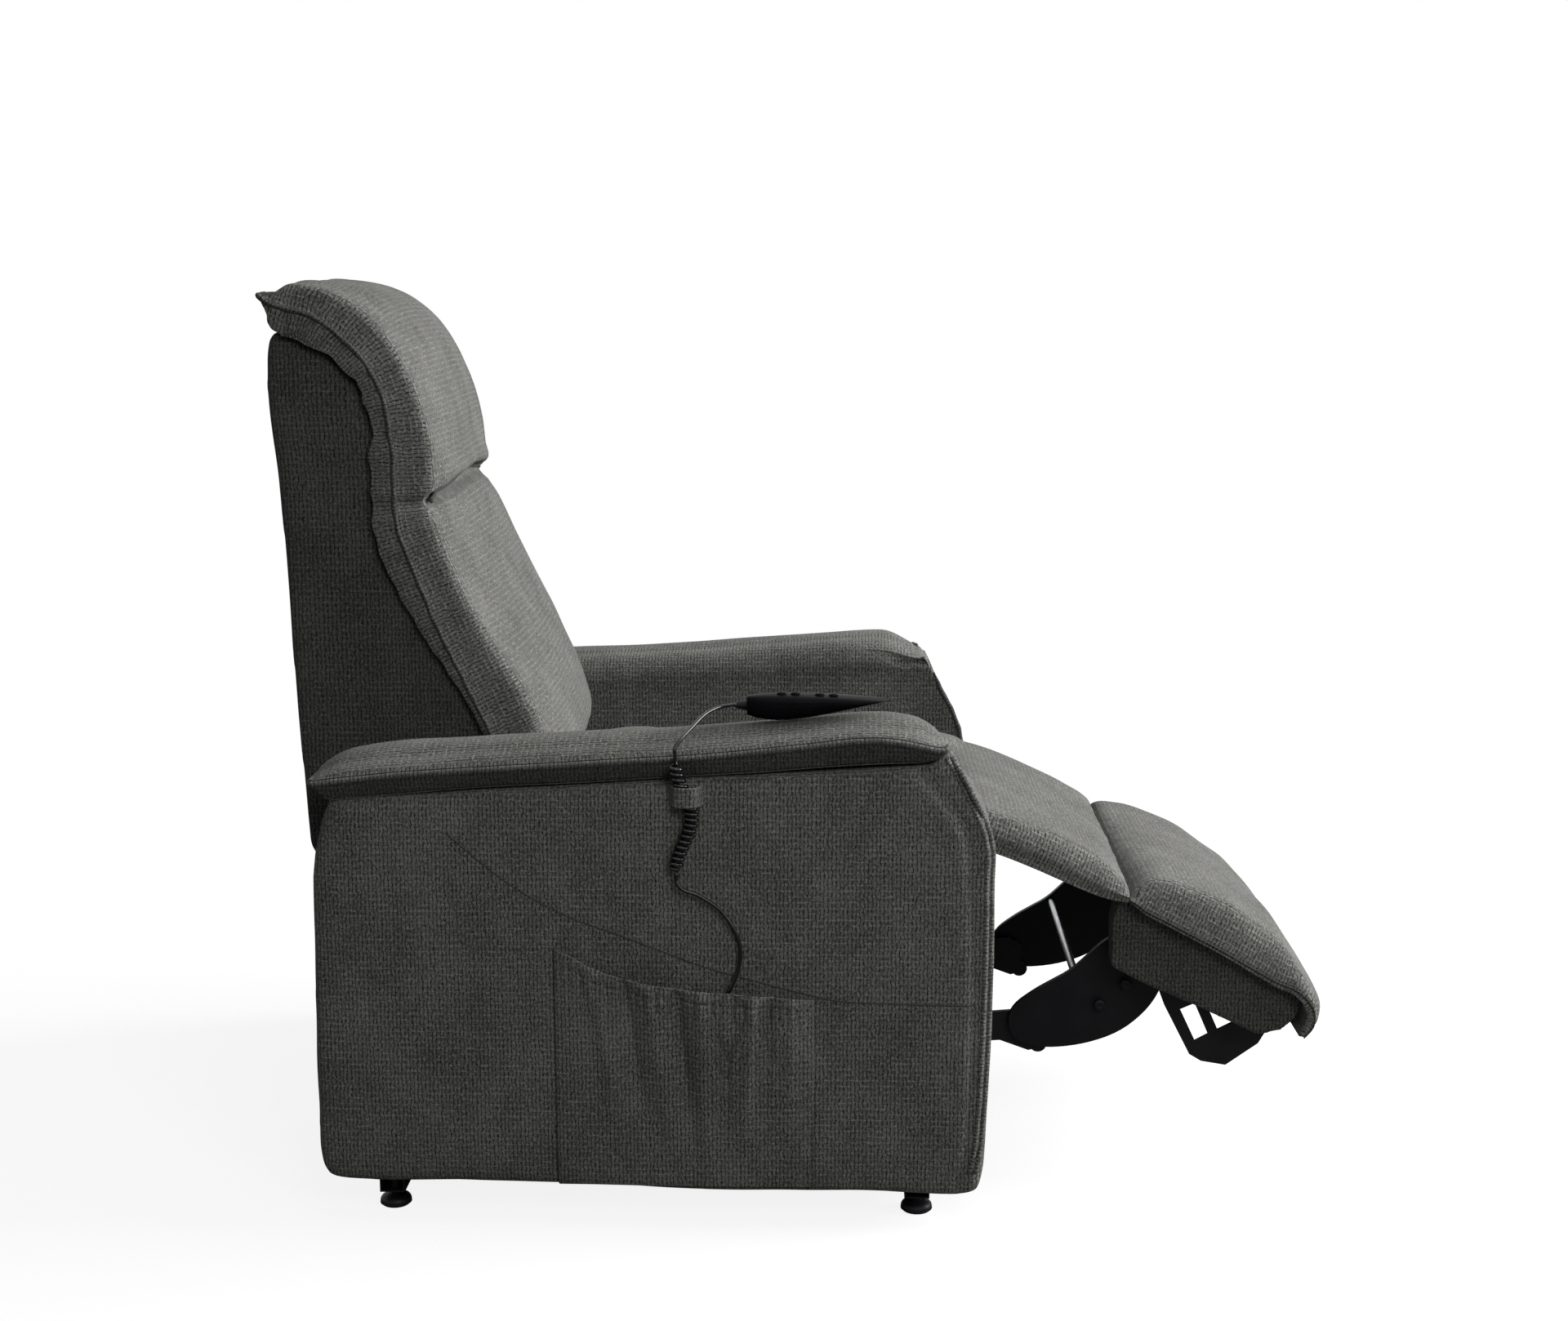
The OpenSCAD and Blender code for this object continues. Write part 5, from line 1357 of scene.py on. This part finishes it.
arm_covers = {}
for which in WORDS:
    arm = arm_covers[which] = make_arm(which)
    make_arm_trim(which, arm)
    arm_pad, outer_line, inner_line = make_pad(which)
    make_pad_welt(which, outer_line, inner_line)
    make_inner_cover(which, (arm, arm_pad))

# ---------------------------------------------------------------------
#  Pocket and loop
# ---------------------------------------------------------------------
MOUTH = [(-281, 342), (-270, 338), (-224, 316), (-167, 302), (-120, 296), (-73, 292),
         (-16, 287), (17, 283)]
POCKET_FOOT = 52
POCKET_COLUMNS, POCKET_ROWS = 170, 120
HEM_AT, STITCH_AT = 0.915, 0.942        # share of the pocket's height
# Folds that hang from the hem: place at the hem, place at the foot, width, depth, length
FOLDS = [(0.47, 0.55, 0.026, -0.0095, 0.40), (0.68, 0.63, 0.024, -0.0095, 0.05),
         (0.57, 0.59, 0.032, 0.0070, 0.05), (0.77, 0.72, 0.028, 0.0060, 0.20),
         (0.36, 0.47, 0.036, 0.0060, 0.20), (0.84, 0.80, 0.022, -0.0060, 0.50),
         (0.27, 0.38, 0.026, -0.0060, 0.40), (0.14, 0.30, 0.034, 0.0040, 0.30),
         (0.92, 0.90, 0.024, 0.0030, 0.40)]


def pocket_gap(uu, vv, sides):
    """How far the cloth stands off the arm, from its folds and its gathered hem."""
    gap = 0.0006 + 0.0150 * sides ** 0.45 * vv ** 1.35
    for at_top, at_foot, width, depth, foot in FOLDS:
        mid = at_foot + (at_top - at_foot) * vv
        run = smooth_step(vv, foot * 0.4, foot + 0.35) * smooth_step(1 - vv, -0.02, 0.03)
        gap += depth * np.exp(-((uu - mid) / width) ** 2) * run
    wave = np.sin(2 * math.pi * uu * 24 + 2.4 * np.sin(uu * 21))
    wave += 0.5 * np.sin(2 * math.pi * uu * 41 + 3)
    hem = np.exp(-((vv - HEM_AT) / 0.040) ** 2)
    stitch = np.exp(-((vv - STITCH_AT) / 0.008) ** 2)
    gap += sides ** 0.3 * (0.0017 * wave * hem - (0.0022 - 0.0008 * wave) * stitch)
    return gap + 0.0007 * wave * sides * smooth_step(vv, 0.955, 1.0)


def pocket_points(cover):
    """The grid of points of the pocket's cloth, from its rear foot to its front mouth."""
    tree = surface(cover)
    mouth = curve_through(MOUTH, 8)
    nu, nv = POCKET_COLUMNS, POCKET_ROWS
    u = np.linspace(0, 1, nu)
    v = np.linspace(0, 1, nv)
    x = mouth[0, 0] + (mouth[-1, 0] - mouth[0, 0]) * u
    top = np.interp(x, mouth[:, 0], mouth[:, 1])
    grid = np.zeros((nu, nv, 3))
    grid[..., 0] = x[:, None]
    grid[..., 2] = POCKET_FOOT + (top[:, None] - POCKET_FOOT) * v[None]
    grid *= MM
    uu, vv = np.meshgrid(u, v, indexing="ij")
    sides = np.clip(np.sin(math.pi * uu), 0, 1)
    co = grid.reshape(-1, 3)
    gap = np.maximum(pocket_gap(uu, vv, sides).reshape(-1), 0.0006)
    gap += 0.0014 * noise_at(co, 0.06, 14.0) * sides.reshape(-1)
    base = np.array([hug(tree, (a, -OUTSIDE, c), (0, 1, 0), 0.0)[1] for a, _, c in co])
    base = base.reshape(nu, nv)
    for _ in range(3):
        base = neighbours(base) / 4
    skin = base.reshape(-1)
    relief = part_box("cord_grommet")     # the cloth lies over the cord's strain relief
    ahead = np.exp(-((co[:, 0] - (relief[0].x + relief[1].x) / 2) / 0.018) ** 2)
    ahead *= smooth_step(co[:, 2], relief[0].z - 0.040, relief[0].z - 0.004)
    gap = np.maximum(gap, ahead * (skin - relief[0].y + 0.0030))
    co[:, 1] = skin - np.maximum(gap, 0.0005)
    return grid


def make_pocket(cover):
    """A patch pocket, sewn on three sides, its mouth gathered by an elastic hem."""
    grid = pocket_points(cover)
    nu, nv = POCKET_COLUMNS, POCKET_ROWS
    faces = [(i * nv + j, (i + 1) * nv + j, (i + 1) * nv + j + 1, i * nv + j + 1)
             for i in range(nu - 1) for j in range(nv - 1)]
    obj = mesh_object("pocket", grid.reshape(-1, 3), faces)
    thicken(obj, 0.0022, 1)
    weave_flat(obj)
    dress_cover(obj, "grey_cloth", "chassis", "side_pocket")
    row = int(round(STITCH_AT * (nv - 1)))
    for name, line, rise, radius in (("pocket_seam_rear", grid[0], 0.0016, 0.0008),
                                     ("pocket_seam_front", grid[-1], 0.0016, 0.0008),
                                     ("pocket_hem_stitch", grid[6:-6, row], 0.0018, 0.0009)):
        sew(name, even(line - (0, rise, 0), 0.006), radius, "chassis")


make_pocket(arm_covers[-1])
make_plain_cover("cord_loop", "cord_loop_band", "chassis", 0.001, 2, "grey_cloth", fine=False)

# ---------------------------------------------------------------------
#  Studio
# ---------------------------------------------------------------------
FLOOR_NEAR, FLOOR_FAR = 1.1, 2.1    # where the floor fades into the backdrop


def make_floor():
    size = 14
    obj = mesh_object("floor", [(-size, -size, 0), (size, -size, 0), (size, size, 0),
                                (-size, size, 0)], [(0, 1, 2, 3)], smooth=False)
    sh = Shader("floor")
    sh.tree.nodes.remove(sh.main)
    link_up = sh.tree.links.new
    matte = sh.node("BsdfDiffuse")
    matte.inputs[0].default_value = (0.18, 0.18, 0.18, 1)
    lift = sh.node("Emission")
    add = sh.node("AddShader")
    white = sh.node("Emission")
    white.inputs["Strength"].default_value = 1.0
    mix = sh.node("MixShader")
    path = sh.node("LightPath")
    seen = path.outputs["Is Camera Ray"]
    sh.put(sh.math("MULTIPLY", seen, 0.87), lift.inputs["Strength"])
    length = sh.node("VectorMath", operation="LENGTH")
    sh.put(sh.place(), length.inputs[0])
    fade = sh.between(length.outputs["Value"], FLOOR_NEAR, FLOOR_FAR)
    sh.put(sh.math("MULTIPLY", seen, fade), mix.inputs[0])
    link_up(matte.outputs[0], add.inputs[0])
    link_up(lift.outputs[0], add.inputs[1])
    link_up(add.outputs[0], mix.inputs[1])
    link_up(white.outputs[0], mix.inputs[2])
    link_up(mix.outputs[0], sh.out.inputs[0])
    obj.data.materials.append(sh.mat)


WORLD_LIGHT = 0.12      # what the white backdrop adds to the light on the chair


def make_world():
    world = bpy.data.worlds.new("studio")
    scene.world = world
    world.use_nodes = True
    tree = world.node_tree
    tree.nodes.clear()
    out = tree.nodes.new("ShaderNodeOutputWorld")
    back = tree.nodes.new("ShaderNodeBackground")
    path = tree.nodes.new("ShaderNodeLightPath")
    strength = tree.nodes.new("ShaderNodeMapRange")
    value = path.outputs["Is Camera Ray"]
    for ray in ("Is Glossy Ray", "Is Transmission Ray"):
        both = tree.nodes.new("ShaderNodeMath")
        both.operation = "MAXIMUM"
        tree.links.new(value, both.inputs[0])
        tree.links.new(path.outputs[ray], both.inputs[1])
        value = both.outputs[0]
    tree.links.new(value, strength.inputs[0])
    strength.inputs[3].default_value = WORLD_LIGHT
    strength.inputs[4].default_value = 1.0
    tree.links.new(strength.outputs[0], back.inputs["Strength"])
    back.inputs[0].default_value = (1, 1, 1, 1)
    tree.links.new(back.outputs[0], out.inputs[0])


def make_lamp(name, at, aim, size, power):
    data = bpy.data.lights.new(name, "AREA")
    data.shape = "RECTANGLE"
    data.size, data.size_y = size
    data.energy = power
    obj = link(bpy.data.objects.new(name, data))
    obj.location = at
    obj.rotation_mode = "QUATERNION"
    obj.rotation_quaternion = (Vector(aim) - Vector(at)).to_track_quat("-Z", "Y")


make_floor()
make_world()
make_lamp("key", (4.4, 0.6, 2.35), (0, 0, 0.6), (2.3, 2.3), 420)
make_lamp("top", (0.3, -0.3, 3.4), (0, 0, 0.5), (2.2, 2.2), 30)
make_lamp("fill", (1.2, -3.2, 2.4), (-0.1, -0.3, 0.6), (1.5, 1.3), 39)

scene.view_settings.view_transform = "Standard"
